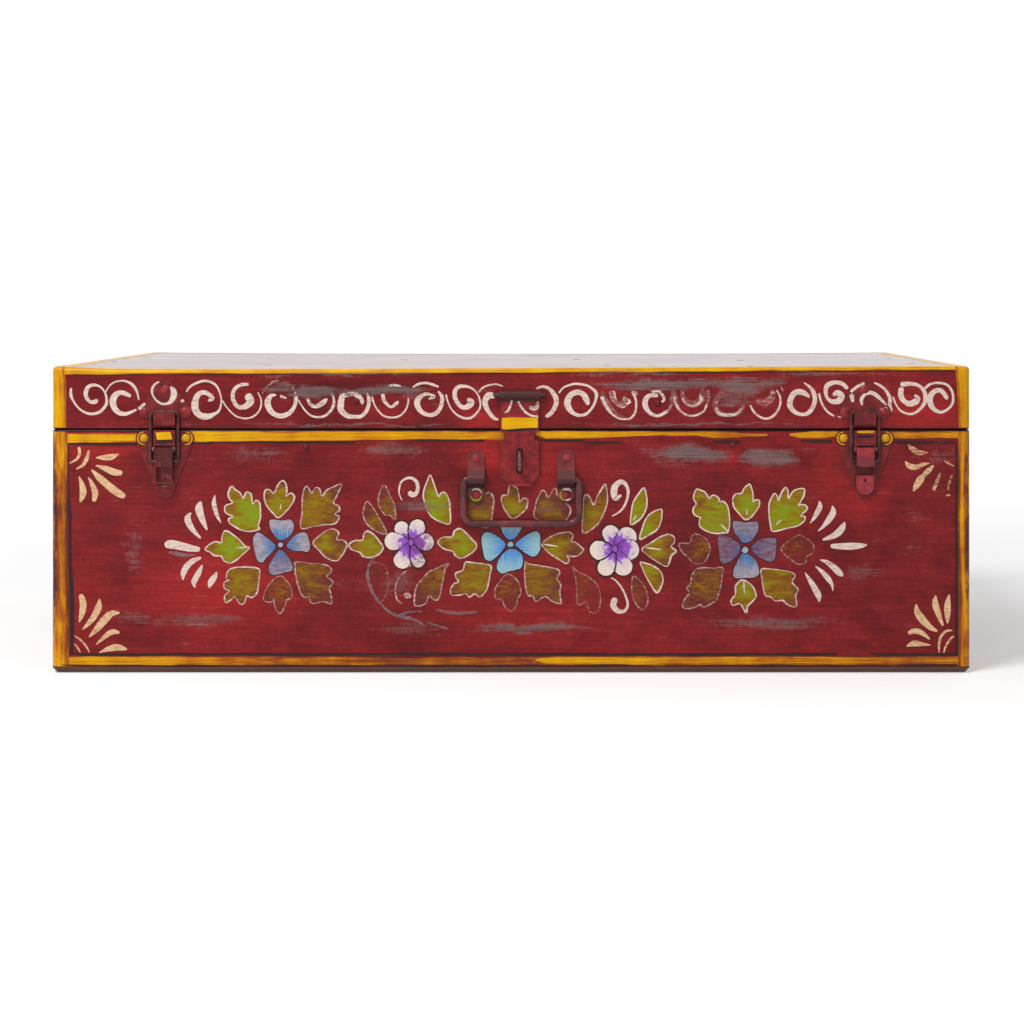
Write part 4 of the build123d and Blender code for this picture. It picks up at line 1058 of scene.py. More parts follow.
    "rightLowerRight": (0.45, (207.5, 85.5), (236, 55), [207.5, 85.5, 214, 86, 224, 85, 233, 83, 235.5, 80, 233, 75,
        238, 69, 236, 64, 236.5, 55, 230, 56, 225, 60, 219, 59.5, 215, 63, 211, 64, 209, 71, 208, 78]),
}
leafLook = {"edge": 1.1, "edgeVary": 0.7, "edgeWearAndHighlight": 0.66, "edgeBroken": -0.04, "edgeRagged": 0.4, "veinWear": 0.05}
leafVeins = [
    (-190.8, 139.2, 0.7, -191, 137, 1.1, -191.2, 135.4, 0.7),
    (-227.7, 103.5, 0.6, -223, 103.7, 1.1, -219.5, 103.5, 0.8), (27.3, 106.4, 0.8, 33, 105.6, 1.2, 39, 104.6, 0.6),
    (101.4, 126.4, 0.7, 102.6, 128.6, 1.1, 103.6, 130.9, 0.6), (112, 103.6, 0.8, 118, 103, 1.3, 124, 102, 0.6),
    (174, 123, 0.6, 177, 120, 1.2, 180, 117, 0.8), (195.5, 135, 0.7, 195.5, 133, 1.1, 195.5, 131, 0.7),
    (220, 123, 0.9, 222, 125, 1.2, 224, 126.5, 0.6), (193, 75.5, 0.9, 193.2, 71, 1.2, 193.5, 66, 0.6),
]
leafPaint, whitePaint = newPot(), newPot()
for seed, (age, stem, tip, rim) in enumerate(leaves.values()):
    rim = rows(rim, 2)
    addPatch(leafPaint, rim, stem, tip, wear=age)
    edge = []
    for i, (x, z) in enumerate(rim):
        vary = leafLook["edgeVary"] * noise.noise(Vector((i * 0.9, seed * 3.1, 0)))
        edge.append((x, z, leafLook["edge"] * (1 + vary)))
    wear = leafLook["edgeBroken"] + leafLook["edgeWearAndHighlight"] * age
    addStroke(whitePaint, edge, coat=1, wear=wear, closed=True, ragged=leafLook["edgeRagged"])
for vein in leafVeins:
    addStroke(whitePaint, rows(vein, 3), coat=1, wear=leafLook["veinWear"])
pour("leafGreenPaint", leafPaint, leaf, "carcass")

# ---- the flowers: petals brushed out from a heart, with thin dark lining round and between them
skyFlower = {"heart": (-0.5, 106.4), "petals": [
    [-8.2, 122, -4, 124.6, 5, 124.6, 9.1, 122, 6.4, 115.5, 1.8, 110.9, -2.7, 110.9, -6.4, 115.5],
    [-4.5, 106.4, -9.1, 111.4, -15.5, 115.5, -20.9, 116.4, -24.1, 112.7, -24.1, 106.4, -22.7, 99.1, -21.4, 94.5,
     -17.3, 92.7, -12.7, 95.5, -8.2, 100],
    [3.6, 106.4, 8.2, 110.9, 15.5, 115.5, 21.4, 117.1, 24.1, 113.6, 24.1, 106.4, 24.1, 101.8, 20.9, 97.3, 17.3, 96.4,
     10.9, 100, 6.4, 103.6],
    [-0.5, 102.7, 4.5, 101.8, 8.6, 98.2, 10, 93.6, 8.6, 87.3, 4.5, 85.5, -1.8, 84.1, -7.3, 82.3, -11.4, 85.5,
     -11.4, 90, -9.1, 95.5, -4.5, 100.5],
]}
leftFlower = {"heart": (-191, 106), "petals": [
    [-200, 126, -196, 127, -190, 126, -183, 127, -180, 122, -182, 115, -187, 111, -192, 110, -196, 114, -199.5, 120],
    [-210.5, 116, -213.5, 112, -213.5, 106, -212, 99, -210, 93, -206, 91.5, -203, 95, -198, 100, -195, 105, -200, 110,
     -206, 114.5],
    [-186, 105, -182, 111, -176, 115.5, -170, 116, -168, 112, -166.5, 106, -168, 100.5, -174, 101, -181, 101.5],
    [-191, 102, -187, 99, -183, 93, -181, 88, -182, 84.5, -188, 83, -196, 81, -200.5, 83.5, -200, 90, -197, 95,
     -194, 100],
]}
rightFlower = {"heart": (194, 101.7), "petals": [
    [184, 125, 189, 125.5, 195, 124.5, 203, 125.5, 205, 123, 204.5, 117, 201, 112, 198, 108.5, 192, 108, 189, 112,
     185, 117],
    [172, 113.5, 177, 114, 184, 111, 189, 107, 190, 102, 188, 98, 184, 94, 180, 91, 175, 91, 173, 95, 172.5, 102,
     171.2, 108],
    [199, 103, 203, 108, 208, 111, 218, 111.8, 220, 109, 219.5, 100, 218.5, 94, 215, 92, 210, 93.5, 204, 97],
    [192, 99, 197, 98, 203, 93, 205.5, 86, 205, 81, 200, 78.8, 194, 78.8, 188, 78.2, 184.5, 80, 184.5, 85, 187, 91,
     190, 96],
]}
# flower, pot, wear of each petal, button size, width of the dark lining and its wear
flowers = [
    (skyFlower, newPot(), (0.02, 0.05, 0, 0), 2.3, 1.9, 0.05),
    (leftFlower, newPot(), (0.24, 0.26, 0.32, 0.46), 2.0, 1.2, 0.22),
    (rightFlower, newPot(), (0.46, 0.64, 0.62, 0.3), 2.6, 1.4, 0.18),
]
petalLining = newPot()
flowerLook = {"ring": 0.7, "round": 14, "shade": 10, "ragged": 0.4, "reach": 0.94}
# the coats lie over one another: lining, petals, then the button; a round flower's petals lap like shingles
coats = {"lining": 2, "petal": 3, "button": 4, "roundLining": 3, "roundPetal": 3.3, "lap": 0.6, "roundButton": 7}


# An uneven little round, drawn out upwards by tall
def roundRim(heart, size, wobble, tall):
    rim = []
    for i in range(flowerLook["round"]):
        a = math.tau * i / flowerLook["round"]
        across, up = [size * (1 + wobble * noise.noise(Vector((a, heart[0], seed)))) for seed in (2, 5)]
        rim.append((heart[0] + across * math.cos(a), heart[1] + up * math.sin(a) * tall))
    return rim


def addButton(pot, heart, size, tall, coat):
    x, z = heart
    rim = roundRim(heart, size + flowerLook["ring"], 0.2, tall)
    addPatch(petalLining, rim, heart, (x + 1, z), coat=coat, wear=0.05)
    addPatch(pot, roundRim(heart, size, 0.3, tall), (x - flowerLook["shade"], z), (x + 4, z), coat=coat + 1)


def linePetal(rim, width, coat, wear):
    spine = [(x, z, width) for x, z in rim]
    addStroke(petalLining, spine, coat=coat, wear=wear, closed=True, ragged=flowerLook["ragged"])


for flower, pot, wears, button, width, broken in flowers:
    heart = flower["heart"]
    for petal, wear in zip(flower["petals"], wears):
        rim = rows(petal, 2)
        far = max(math.dist(point, heart) for point in rim)
        middle = [sum(point[k] for point in rim) / len(rim) for k in (0, 1)]
        reach = far / math.dist(middle, heart) * flowerLook["reach"]
        tip = [heart[k] + (middle[k] - heart[k]) * reach for k in (0, 1)]
        linePetal(rim, width, coats["lining"], broken)
        addPatch(pot, rim, heart, tip, coat=coats["petal"], wear=wear)
    addButton(pot, heart, button, 1.0, coats["button"])
# hearts, where the purple blush is centred, and the petals (x, z, size, wear)
roundPetals = [
    ((-83, 108), (-82, 106.5), [
        (-90.5, 119.5, 6.6, 0.1), (-77.7, 120.5, 7.2, 0.08), (-97.5, 109, 7.2, 0.1), (-70.9, 108.2, 7, 0.32),
        (-90, 93.6, 7.2, 0.12), (-76.8, 92.7, 6, 0.32)]),
    ((85.9, 102.7), (88.6, 103.4), [
        (82.7, 115.5, 7.5, 0.05), (95.9, 112.7, 8, 0), (97.7, 101.8, 8.5, 0), (93.2, 88.2, 7.5, 0.05),
        (78.6, 87.3, 7.5, 0), (73.2, 101.8, 8.5, 0)]),
]
roundLook = {"gap": 1.4, "narrow": 0.25, "uneven": 0.1, "line": 1.3, "lineWear": 0.12, "blush": 12.5}
blushPetals = newPot()
for heart, blushed, petals in roundPetals:
    for k, (x, z, size, wear) in enumerate(petals):
        # a round end outside, drawn in towards the heart
        away = Vector((x - heart[0], z - heart[1]))
        inward = away.length - roundLook["gap"]
        away.normalize()
        rim = []
        for i in range(flowerLook["round"]):
            a = math.tau * i / flowerLook["round"]
            back = max(-math.cos(a), 0)
            along = math.cos(a) * (inward if back else size)
            uneven = 1 + roundLook["uneven"] * noise.noise(Vector((a, x, 2)))
            aside = math.sin(a) * size * (1 - roundLook["narrow"] * back) * uneven
            rim.append((x + away.x * along - away.y * aside, z + away.y * along + away.x * aside))
        lap = coats["lap"] * k
        linePetal(rim, roundLook["line"], coats["roundLining"] + lap, roundLook["lineWear"])
        tip = (blushed[0] + roundLook["blush"], blushed[1])
        addPatch(blushPetals, rim, blushed, tip, coat=coats["roundPetal"] + lap, wear=wear)
    addButton(blushPetals, heart, 2.0, 1.35, coats["roundButton"])
petalNames = {"skyBluePetals": skyPetal, "leftFadedPetals": fadedPetal, "rightFadedPetals": fadedPetal}
for flower, (name, petal) in zip(flowers, petalNames.items()):
    pour(name, flower[1], petal, "carcass")
pour("whitePurplePetals", blushPetals, blush, "carcass")
pour("petalLiningDark", petalLining, black, "carcass")

# ---- white brushwork on the body: curls above and below the purple flowers, fans of strokes at both ends.
# Rows are x, z, width
curls = [
    (0.05, [-90.4, 143.1, 0.8, -92.5, 148, 1, -92.7, 152.3, 1.4, -91.2, 157.7, 1.6, -88.1, 160.4, 1.8,
        -84.2, 161.5, 2.2, -80.4, 160.4, 2.6, -77.7, 156.9, 3, -77.3, 152.3, 3, -78.8, 148.5, 3.4, -81.5, 147.5, 4.5,
        -84, 149, 4]),
    (0.3, [-86.4, 84.5, 0.8, -90.9, 80.9, 1.2, -94.5, 75.5, 1.3, -95.9, 68.2, 1.2, -94.5, 60.9, 1, -90.9, 57.7, 1]),
    (0.35, [-88, 64.6, 3, -85.9, 64.1, 5, -83.8, 63.4, 3]),
    (0, [90.8, 146.9, 2, 86.9, 144.5, 4, 85.4, 148, 5.5, 85.8, 153.1, 5.5, 88, 156.5, 4.5, 91.5, 158.2, 4,
        95, 156.2, 3, 97.1, 150.8, 2.5, 96.2, 143.8, 2, 93.1, 136.9, 1.8, 88.5, 132.3, 1.4, 83.8, 130, 0.9]),
    (0.05, [85.9, 60.5, 5, 84.8, 55.5, 5, 88.6, 51.2, 4, 94.1, 51.2, 2.5, 96.8, 56.4, 2, 95, 63.6, 1.7,
        91.4, 70.9, 1.5, 86.8, 76.4, 1.3, 83.2, 78.6, 0.9]),
    (0.1, [-84.5, 88.2, 0.8, -83, 89.4, 1.4, -82, 90, 0.8]),
]
plumes = [
    (0.1, [-245.4, 147, 0.8, -246.2, 141, 3.6, -245, 135, 3.6, -243, 129, 2.6, -240.5, 124.6, 0.8]),
    (0, [-257.5, 141, 3, -258.5, 136, 6.5, -257, 130, 5.5, -254.5, 124, 4, -252, 118.5, 1.2]),
    (0, [-265.5, 132.3, 1.5, -268, 128, 5.2, -266, 122, 5, -262, 116.5, 3.4, -257.5, 111.8, 1.6]),
    (0.05, [-285, 106.2, 6, -281, 106.4, 7.2, -273, 104.8, 6.6, -266, 103.3, 5.8, -259, 102.3, 4]),
    (0.05, [-257.4, 95.2, 2, -263, 93, 4.2, -268.5, 88.5, 5, -271.5, 82.5, 4.6, -271.8, 77.2, 1]),
    (0.05, [-256, 89, 1.5, -258.3, 84, 4, -261, 79, 4.8, -262.8, 75, 4.2, -262, 70.8, 1]),
    (0.1, [-243.8, 83.4, 1.2, -246, 79, 4.6, -248.8, 75, 5, -250, 71, 2]),
    (0.1, [255.6, 142, 1, 256.2, 138, 4, 254, 133, 4.2, 251, 128, 2.8, 248, 124, 0.8]),
    (0, [266.5, 138, 1.2, 267, 133, 5, 264, 127.5, 5, 259.5, 122, 3, 254.8, 117.6, 0.8]),
    (0, [276.4, 124.2, 2, 274.5, 120, 5.2, 270.5, 115.5, 5.6, 265, 112.5, 4, 259, 110.4, 2]),
    (0.05, [294.5, 105.9, 1.5, 289, 105.2, 4.6, 280, 104.8, 5.8, 272, 104.8, 4.8, 266, 105, 3.4]),
    (0.05, [256.6, 93.5, 1, 262, 91.5, 3.4, 268, 87, 5, 272.5, 82.5, 5, 275, 80.4, 1.6]),
    (0.05, [252.5, 88.2, 0.8, 257.5, 84, 3.2, 262.5, 78.5, 4.4, 266, 73, 2.6, 266.8, 68, 0.8]),
    (0.1, [243.8, 82.8, 0.8, 247.5, 77, 3.4, 251.5, 70.5, 4.8, 254.8, 64, 5, 255.5, 59.2, 1.2]),
]
scrapes = [
    (0.26, [-282.6, 99.6, 2.6, -276, 98.4, 3.6, -269.5, 97.3, 2.6, -262, 97.6, 1.4]),
    (0.24, [-113, 96, 1.4, -118, 88, 2, -118.5, 78, 2.2, -115, 68, 1.8, -109, 58.5, 1.8, -102, 51.5, 2,
        -95, 47.5, 2.6, -86, 45.8, 3, -79, 43.5, 2.4, -73, 40, 1.6]),
    (0.3, [-92, 48, 1.4, -84, 50.5, 2, -74, 50.8, 1.6]), (0.3, [-70, 42, 1.2, -60, 38.6, 1.8, -52, 36.4, 1.2]),
    (0.34, [-62, 52, 2, -44, 49.4, 3, -28, 50.4, 2]),
]
scrapePaint = newPot()
brushOn(scrapePaint, scrapes, coat=2.5, ragged=0.6)
pour("greyScrapes", scrapePaint, scrape, "carcass")
brushOn(whitePaint, curls + plumes, coat=1)
pour("whiteBrushwork", whitePaint, white, "carcass")

# ---- cream fans in the corners of the front
fans = [
    (0.05, [-358, 186.5, 2.2, -357.6, 181.5, 2.6, -360, 177, 2, -365.5, 173.8, 1]),
    (0.05, [-350, 184, 1.4, -351.6, 177.5, 3.2, -355, 172, 2.6, -360.2, 168.8, 1]),
    (0.05, [-343.6, 178.2, 1.2, -338, 178.4, 4, -331.5, 178.8, 5, -325.3, 181.2, 1]),
    (0, [-343.8, 171.8, 1, -336.5, 169.4, 4.4, -329, 166.4, 5.6, -323.5, 165.6, 4.2]),
    (0, [-347.5, 168.2, 1.2, -341, 161.5, 5.4, -333.5, 155, 6, -326.5, 149.5, 6.2, -321.3, 146.4, 4.6]),
    (0, [-358, 162.4, 1, -355.6, 156, 4.2, -354.7, 149, 5.6, -356.8, 142, 2]),
    (0, [-350.2, 162, 1, -347, 156, 3.8, -344.6, 149, 5, -345.6, 143, 3.4]),
    (0, [-356.3, 63.8, 4, -354.6, 57, 5.6, -355.6, 49, 4.6, -357.8, 42.2, 1.2]),
    (0, [-341, 60.6, 1.4, -341.8, 54.5, 5.4, -346, 46, 5, -350.5, 40.5, 3.6, -354.8, 36.2, 1]),
    (0.05, [-325, 49.8, 2, -331.5, 48.8, 5.2, -338, 42.5, 6.4, -344, 35.5, 4.6, -349.4, 30, 1.4]),
    (0.05, [-325.2, 33.4, 2.4, -330.5, 33.8, 4.4, -336.5, 30, 3.6, -343.6, 23.6, 1]),
    (0.05, [-319, 19.5, 2, -326, 21, 5.4, -334, 19.6, 4, -341, 16.8, 1]),
    (0.1, [-361.5, 30.6, 0.8, -356, 26.5, 1.5, -351.5, 21, 1.5, -349.5, 17, 0.8]),
    (0.1, [-362, 24, 0.8, -359, 20.5, 1.4, -357, 17, 0.8]),
    (0.3, [329.3, 189, 1, 332.5, 185.6, 4.2, 338.5, 182.4, 4.4, 345.6, 182.4, 1]),
    (0.15, [327.2, 174.8, 1.6, 330, 171.4, 4.6, 336, 170.4, 4.2, 341.5, 172.6, 3.2, 346.6, 173.6, 1]),
    (0.15, [350, 171.4, 1.4, 346.6, 168.2, 4.2, 342, 163.4, 3.6, 339.5, 160.4, 6, 336, 155, 5, 333.6, 150.6, 1.2]),
    (0.3, [355.8, 165.4, 1, 354.6, 162.4, 2.6]), (0.3, [353.8, 160.4, 3, 352.8, 158, 3]),
    (0.25, [352, 156, 3, 350.6, 152, 2.8]), (0.35, [365.6, 164, 1, 364.6, 161.4, 2.2]),
    (0.35, [363.8, 159, 2.4, 363, 156.6, 2]), (0.3, [362.4, 154.6, 1.8, 362.6, 152, 1.8]),
    (0.2, [359.5, 175.6, 1.4, 363, 173.4, 1.6, 367, 171.4, 0.8]),
    (0.2, [361, 147, 1.2, 362.5, 147.2, 1.6, 364, 147, 1]),
    (0, [363.2, 64.4, 1.4, 361.9, 57, 5, 361.8, 49, 5, 361.8, 41.4, 1.4]),
    (0, [352, 63.4, 1.6, 351.6, 57.5, 5.2, 354.2, 49, 4.6, 357.8, 39.4, 2]),
    (0, [335.8, 56.4, 1.4, 337, 50, 5.4, 341.5, 43.5, 6.2, 347, 38, 4.6, 352.8, 34.6, 2]),
    (0, [330, 33, 3, 335, 34.6, 4.6, 341.5, 32.4, 3.8, 346.8, 28, 1.4]),
    (0.05, [328.4, 22.2, 1.6, 334.2, 24.2, 5, 341, 23.6, 3, 347.6, 23, 0.8]),
    (0.1, [365.6, 35, 1, 360.5, 34.4, 2, 356.2, 29.5, 2.2, 354.8, 23, 2, 355, 17, 1.2]),
    (0.1, [367, 30, 1.2, 364.5, 28.4, 1.8, 360.6, 22.5, 1.8, 358.8, 17, 1]),
]
creamPaint = newPot()
brushOn(creamPaint, fans, more=0.06)
pour("cornerFansCream", creamPaint, cream, "carcass")

# ---- white scrolls along the lid, over the catches and the hasp
scrolls = [
    (0.5, [-205.9, 231.6, 1.2, -201.4, 237.9, 1.4, -193.8, 241.4, 1.4, -186.1, 239.8, 1.6, -181, 236, 1.8,
        -178.2, 229.6, 2]),
    (0.62, [75.7, 232.2, 3, 77.3, 225.8, 6, 81.8, 218.8, 6, 86.9, 214.3, 4, 94.5, 211.1, 2.4]),
    (0.5, [83, 232.2, 4, 85, 225.8, 3.4, 90.7, 222, 4.6, 94.5, 225.2, 5, 93.9, 228.4, 3]),
    (0.45, [100.9, 233.5, 3.4, 104.1, 230.9, 2.6]),
    (0.55, [133.4, 228.4, 3.4, 132.8, 222, 2.6, 130.2, 216.2, 1.8]),
    (0.62, [134.1, 233.5, 4.4, 136.6, 227.1, 3.6, 139, 220, 2]),
    (0.6, [141.7, 233.5, 3, 143, 227.1, 4, 148.1, 223.3, 5, 155.8, 224.5, 6, 159, 229.6, 6, 158.3, 233.5, 4]),
    (0.58, [163.4, 233.5, 3, 163.7, 227.1, 2.6, 162, 221, 1.8]),
    (0.62, [180, 236, 3, 172.4, 229.6, 4.6, 169.2, 222, 4.8, 172.4, 215.6, 4.6, 181.3, 213.7, 4, 188.9, 215.6, 4,
        192.8, 222, 3]),
    (0.62, [174.9, 222, 2.4, 185, 222, 2.6]),
    (0.55, [204.3, 225.2, 4.4, 210.6, 223.9, 6.4, 216.4, 228.4, 5.4, 217, 233.5, 3.4]),
    (0.5, [225.3, 233.5, 1.6, 224, 237.3, 1.2]),
    (0, [-364.6, 235.6, 1.6, -364.8, 230.6, 2.4, -362.7, 225.2, 1.8, -358.1, 219.1, 1.6, -352.7, 215.6, 1.8,
        -347.3, 214.5, 2.2, -341.2, 216, 2.4, -336.5, 220.6, 2.4, -335, 225.2, 2.2, -336.2, 231.4, 1.6,
        -339.6, 236.4, 1.4, -345, 238.5, 2.4, -350, 237.2, 3, -352.3, 232.9, 3.6, -351.9, 228.3, 3.2,
        -348.8, 224.5, 2.6, -345, 224.5, 3.6, -343.5, 225.6, 3.2]),
    (0, [-335.8, 232.9, 1, -332.7, 237.9, 1.2, -328.1, 241, 1.2, -321.9, 242, 1.4, -316.5, 240.6, 2,
        -312.7, 237.5, 2.4, -310, 232.9, 1.8, -308.5, 226.4, 1.2]),
    (0, [-315.8, 229.5, 2.6, -318.8, 231, 3.6, -323.5, 232.2, 3.8, -328.1, 229.8, 5, -330, 225.2, 5.4,
        -328.8, 219.8, 4.8, -325, 215.6, 4, -319.6, 214.5, 3, -315, 216, 2.4, -310.8, 217.9, 1.6]),
    (0.05, [-268.8, 233.3, 1.6, -265.8, 237.2, 1.8, -260.4, 240.2, 2, -255.1, 241.8, 2, -248.9, 241, 2,
        -244.3, 237.9, 1.8, -241.6, 232.9, 1.4, -240.1, 226.8, 1.2, -240.5, 221.4, 1.6, -242.4, 216.8, 2.2,
        -246.6, 214.1, 3, -251.2, 212.5, 5, -256.6, 212.9, 5, -260.5, 216, 5.5, -262, 220.6, 6, -261.2, 226.8, 5,
        -258.2, 231.4, 4, -253.5, 232.2, 3.6, -249.3, 229.8, 3.4, -247.4, 227.2, 3, -250.5, 225.6, 2]),
    (0.1, [-238.9, 225.2, 1.2, -236.6, 221.4, 1.2, -232.8, 216.8, 1.3, -228.2, 212.9, 1.4, -222.8, 211, 1.4,
        -217.4, 211, 1.4, -212.8, 212.9, 1.5, -208.9, 216.8, 1.4, -207, 222.2, 1.4, -207.4, 227.5, 1.2,
        -209.7, 232.2, 1]),
    (0.1, [-218.2, 239.1, 2.4, -223.5, 238.7, 2.8, -228.2, 236, 3, -230.5, 231.4, 3.2, -230.1, 226, 3.4,
        -227.4, 221.4, 3.2, -223.5, 219.8, 3.6, -218.9, 221.4, 5, -215.8, 225.2, 6, -217.8, 229.1, 6.5]),
    (0.25, [-198.9, 240.6, 1, -194.3, 241.8, 1.1, -189.7, 241.4, 1]),
    (0.05, [-178.9, 232.9, 1, -178.2, 227.5, 3, -178.9, 222.2, 3, -182, 216.8, 3.4, -186.6, 213.7, 4, -192, 212.9, 4,
        -197.4, 215.2, 4.2, -200.8, 219.8, 5, -201.6, 225.2, 5, -198.9, 229.5, 3.2, -195.1, 230.2, 1.6]),
    (0.1, [-190.5, 229.1, 2.6, -186.2, 227.5, 1]),
    (0.1, [-176.2, 226, 1.2, -173.5, 221.4, 1.3, -169.7, 216.4, 1.4, -165.1, 212.9, 1.5, -159.7, 211.8, 1.8,
        -154.3, 212.9, 2, -149.7, 216.8, 2.2, -147, 222.2, 2.4, -147, 227.5, 2, -148.5, 231.4, 1.2]),
    (0.15, [-169.3, 229.8, 1.6, -168.2, 226, 2.2, -165.8, 222.2, 3, -162, 220.6, 3, -158.2, 222.2, 4,
        -155.1, 224.5, 4, -152.8, 226.8, 2]),
    (0.1, [-119.2, 231.4, 1.4, -117.7, 226.8, 3, -118.1, 221.4, 3, -120.4, 216, 3.2, -124.6, 212.5, 3,
        -130, 212.2, 3.2, -135.4, 212.9, 4, -140.8, 217.5, 5, -141, 223, 5.4, -139.7, 229.1, 4.5, -136.2, 230.2, 3.4,
        -130.8, 231.4, 4, -126.2, 229.1, 4, -123.5, 225.2, 3.4, -123.5, 222.9, 1.5]),
    (0.1, [-115, 228.3, 1.6, -113.5, 222.9, 1.4, -110, 217.2, 1.4, -105.4, 212.9, 1.5, -98.5, 211.5, 1.6,
        -92.3, 212.9, 1.5, -87.7, 217.2, 1.4, -85.4, 222.9, 1.4, -85, 228.3, 1.4]),
    (0.15, [-106.2, 230.6, 3, -105.4, 226, 3, -102.3, 222.2, 2.4, -99.2, 220.2, 2, -95.4, 222.9, 3, -93.8, 224.5, 2]),
    (0.2, [-101.5, 237.9, 2, -96.2, 238.3, 2.2, -91.5, 237.5, 1.4]),
    (0.1, [-80.8, 236.8, 1.8, -76.2, 239.5, 2, -70, 240.2, 2, -64.6, 238.7, 2.2, -60.4, 237.2, 1.6]),
    (0.05, [-60, 232.9, 1.6, -57.3, 229.1, 3, -57.3, 223.7, 3.2, -59.2, 218.3, 3.4, -63.1, 214.5, 3.4,
        -68.5, 213.7, 3.2, -73.8, 216, 3.6, -77.3, 220.6, 4.6, -77.7, 225.2, 4.8, -74.6, 229.1, 3.4, -70.8, 231, 2.6,
        -66.9, 230.6, 2, -63.8, 228.7, 2.6, -67.7, 227.2, 1.6]),
    (0, [-53.8, 230.2, 1.6, -52.3, 224.5, 1.3, -49.2, 218.3, 1.3, -44.6, 213.7, 1.6, -38.5, 211, 2, -33.1, 211.4, 2,
        -28.5, 215.2, 1.6, -25.4, 220.6, 1.6, -26.2, 227.5, 1.4, -29.2, 232.9, 1.2, -33.8, 236.4, 1.8,
        -39.2, 237.5, 2.6, -43.8, 236.8, 3.2, -46.5, 232.9, 3.6, -46.2, 227.5, 3.6, -43.1, 222.2, 3.4,
        -39.2, 219.8, 3.6, -34.6, 221.4, 5, -33.1, 224.5, 5.4, -35.4, 226.4, 3]),
    (0.1, [-26.5, 232.9, 1.6, -23.1, 236.4, 1.4, -18.5, 238.3, 1.4, -12.3, 239.1, 1.4, -6.9, 237.5, 1]),
    (0, [-14.6, 229.5, 4.5, -18.5, 229.8, 5.5, -21.5, 225.2, 4.6, -20.4, 219.8, 4, -17.3, 214.5, 3.2, -13.8, 211, 2.8,
        -10.8, 209.8, 1.6]),
    (0.1, [21.2, 235.6, 1.6, 26.9, 237.2, 2.2, 32.3, 234.8, 3, 36.2, 229.8, 4, 37.7, 225.2, 4, 36.2, 219.8, 3.6,
        33.1, 215.2, 3.4, 29.6, 212.5, 3]),
    (0, [40, 232.2, 1.4, 43.1, 236, 1.4, 46.9, 237.9, 1.8, 53.1, 239.5, 2, 59.2, 238.9, 2, 63.5, 237.9, 1.8,
        67.7, 235.2, 2.2, 70.8, 231.4, 2.8, 70, 225.2, 2.2, 66.9, 219.1, 2, 62.3, 214.5, 2.4, 56.9, 213.3, 2.6,
        51.5, 215.2, 3.4, 47.7, 219.8, 5, 46.9, 225.2, 5.4, 50, 230.6, 4.6, 55.4, 232.5, 4.4, 60, 230.6, 4.4,
        62.3, 226.8, 5, 63.8, 222.9, 3]),
    (0.15, [75.4, 228.3, 2.6, 79.2, 220.6, 2.6, 83.8, 214.5, 1.8, 89.2, 211, 1.6, 94.6, 210.2, 1.6, 99.2, 211, 1.8,
        102.7, 215.2, 2, 103.8, 221.4, 1.8, 103.1, 227.5, 1.8, 100.8, 232.2, 2.2]),
    (0.15, [84.6, 232.2, 4, 86.5, 226.8, 2, 88.5, 222.9, 2, 92.3, 220.6, 2.6, 95.4, 222.9, 3, 97.3, 225.2, 5]),
    (0.2, [116.9, 232.9, 2, 123.1, 232.9, 2.4, 126.9, 227.5, 2.4, 125.4, 224.5, 2]),
    (0.1, [120.8, 229.8, 3.2, 114.6, 229.5, 3.6, 111.5, 226, 4.4, 111.5, 220.6, 4.4, 115.4, 215.2, 3,
        121.5, 212.9, 2.4, 126.9, 215.2, 2.6, 131.5, 218.3, 1.8]),
    (0.2, [134.6, 228.3, 2.6, 136.9, 222.2, 2, 140, 217.5, 1.8, 144.6, 214.1, 1.8, 150, 212.9, 1.8, 155.4, 214.1, 1.6,
        160, 217.2, 1.4, 162.3, 222.2, 2]),
    (0.25, [142.3, 226.8, 1.6, 145.4, 222.9, 1.8, 150, 221, 2, 154.6, 222.5, 2.4, 157.7, 226, 3, 156.9, 229.8, 2]),
    (0.32, [170, 219.1, 2.6, 172.3, 215.2, 3, 176.9, 213.7, 3, 183.1, 213.7, 2.4, 187.7, 215.2, 2,
        190.8, 218.3, 1.6]),
    (0.15, [198.5, 221.4, 1.6, 201.5, 216, 1.6, 206.9, 211.8, 1.8, 212.3, 210.6, 2, 216.9, 212.5, 2.2,
        220.8, 216.8, 2, 223.1, 222.2, 1.8, 223.1, 228.3, 1.6, 220.4, 234.1, 1.2]),
    (0.2, [205.4, 223.7, 1.6, 208.5, 222.9, 3.6, 212.3, 223.7, 3.4, 216.2, 226.8, 1.6]),
    (0.05, [243.1, 240.2, 1, 247.7, 236.8, 2.4, 250.8, 232.2, 3.6, 251.9, 226, 3.6, 250, 219.8, 3.6,
        246.2, 215.2, 3.4, 240.8, 214.1, 2.8, 235.4, 216, 3.4, 231.5, 220.6, 4.4, 231.5, 226, 4.6, 234.6, 231.4, 4.6,
        239.2, 232.9, 4.6, 243.8, 231.4, 4, 246.9, 228.7, 2]),
    (0, [255.4, 231, 2, 256.9, 225.2, 1.6, 260, 219.1, 1.6, 263.8, 215.2, 1.8, 267.7, 212.9, 1.4]),
    (0, [278.5, 236, 3, 274.6, 239.5, 3.4, 268.5, 240.6, 3.4, 262.3, 238.3, 4, 260.8, 232.9, 3.2, 262.3, 227.5, 2.6,
        266.2, 224.8, 3.6, 271.5, 225.2, 5, 273.8, 229.1, 5.5, 270.8, 232.2, 4.5, 267.7, 230.6, 3]),
    (0.1, [301.5, 240.2, 1.4, 306.9, 237.5, 2.2, 311.5, 232.9, 2.4, 314.2, 226.8, 3, 313.8, 222.2, 3,
        314.6, 217.5, 3.4]),
    (0, [316.9, 228.3, 1.4, 318.8, 222.9, 1.4, 322.7, 217.5, 1.6, 328.1, 214.8, 1.8, 333.5, 214.8, 2,
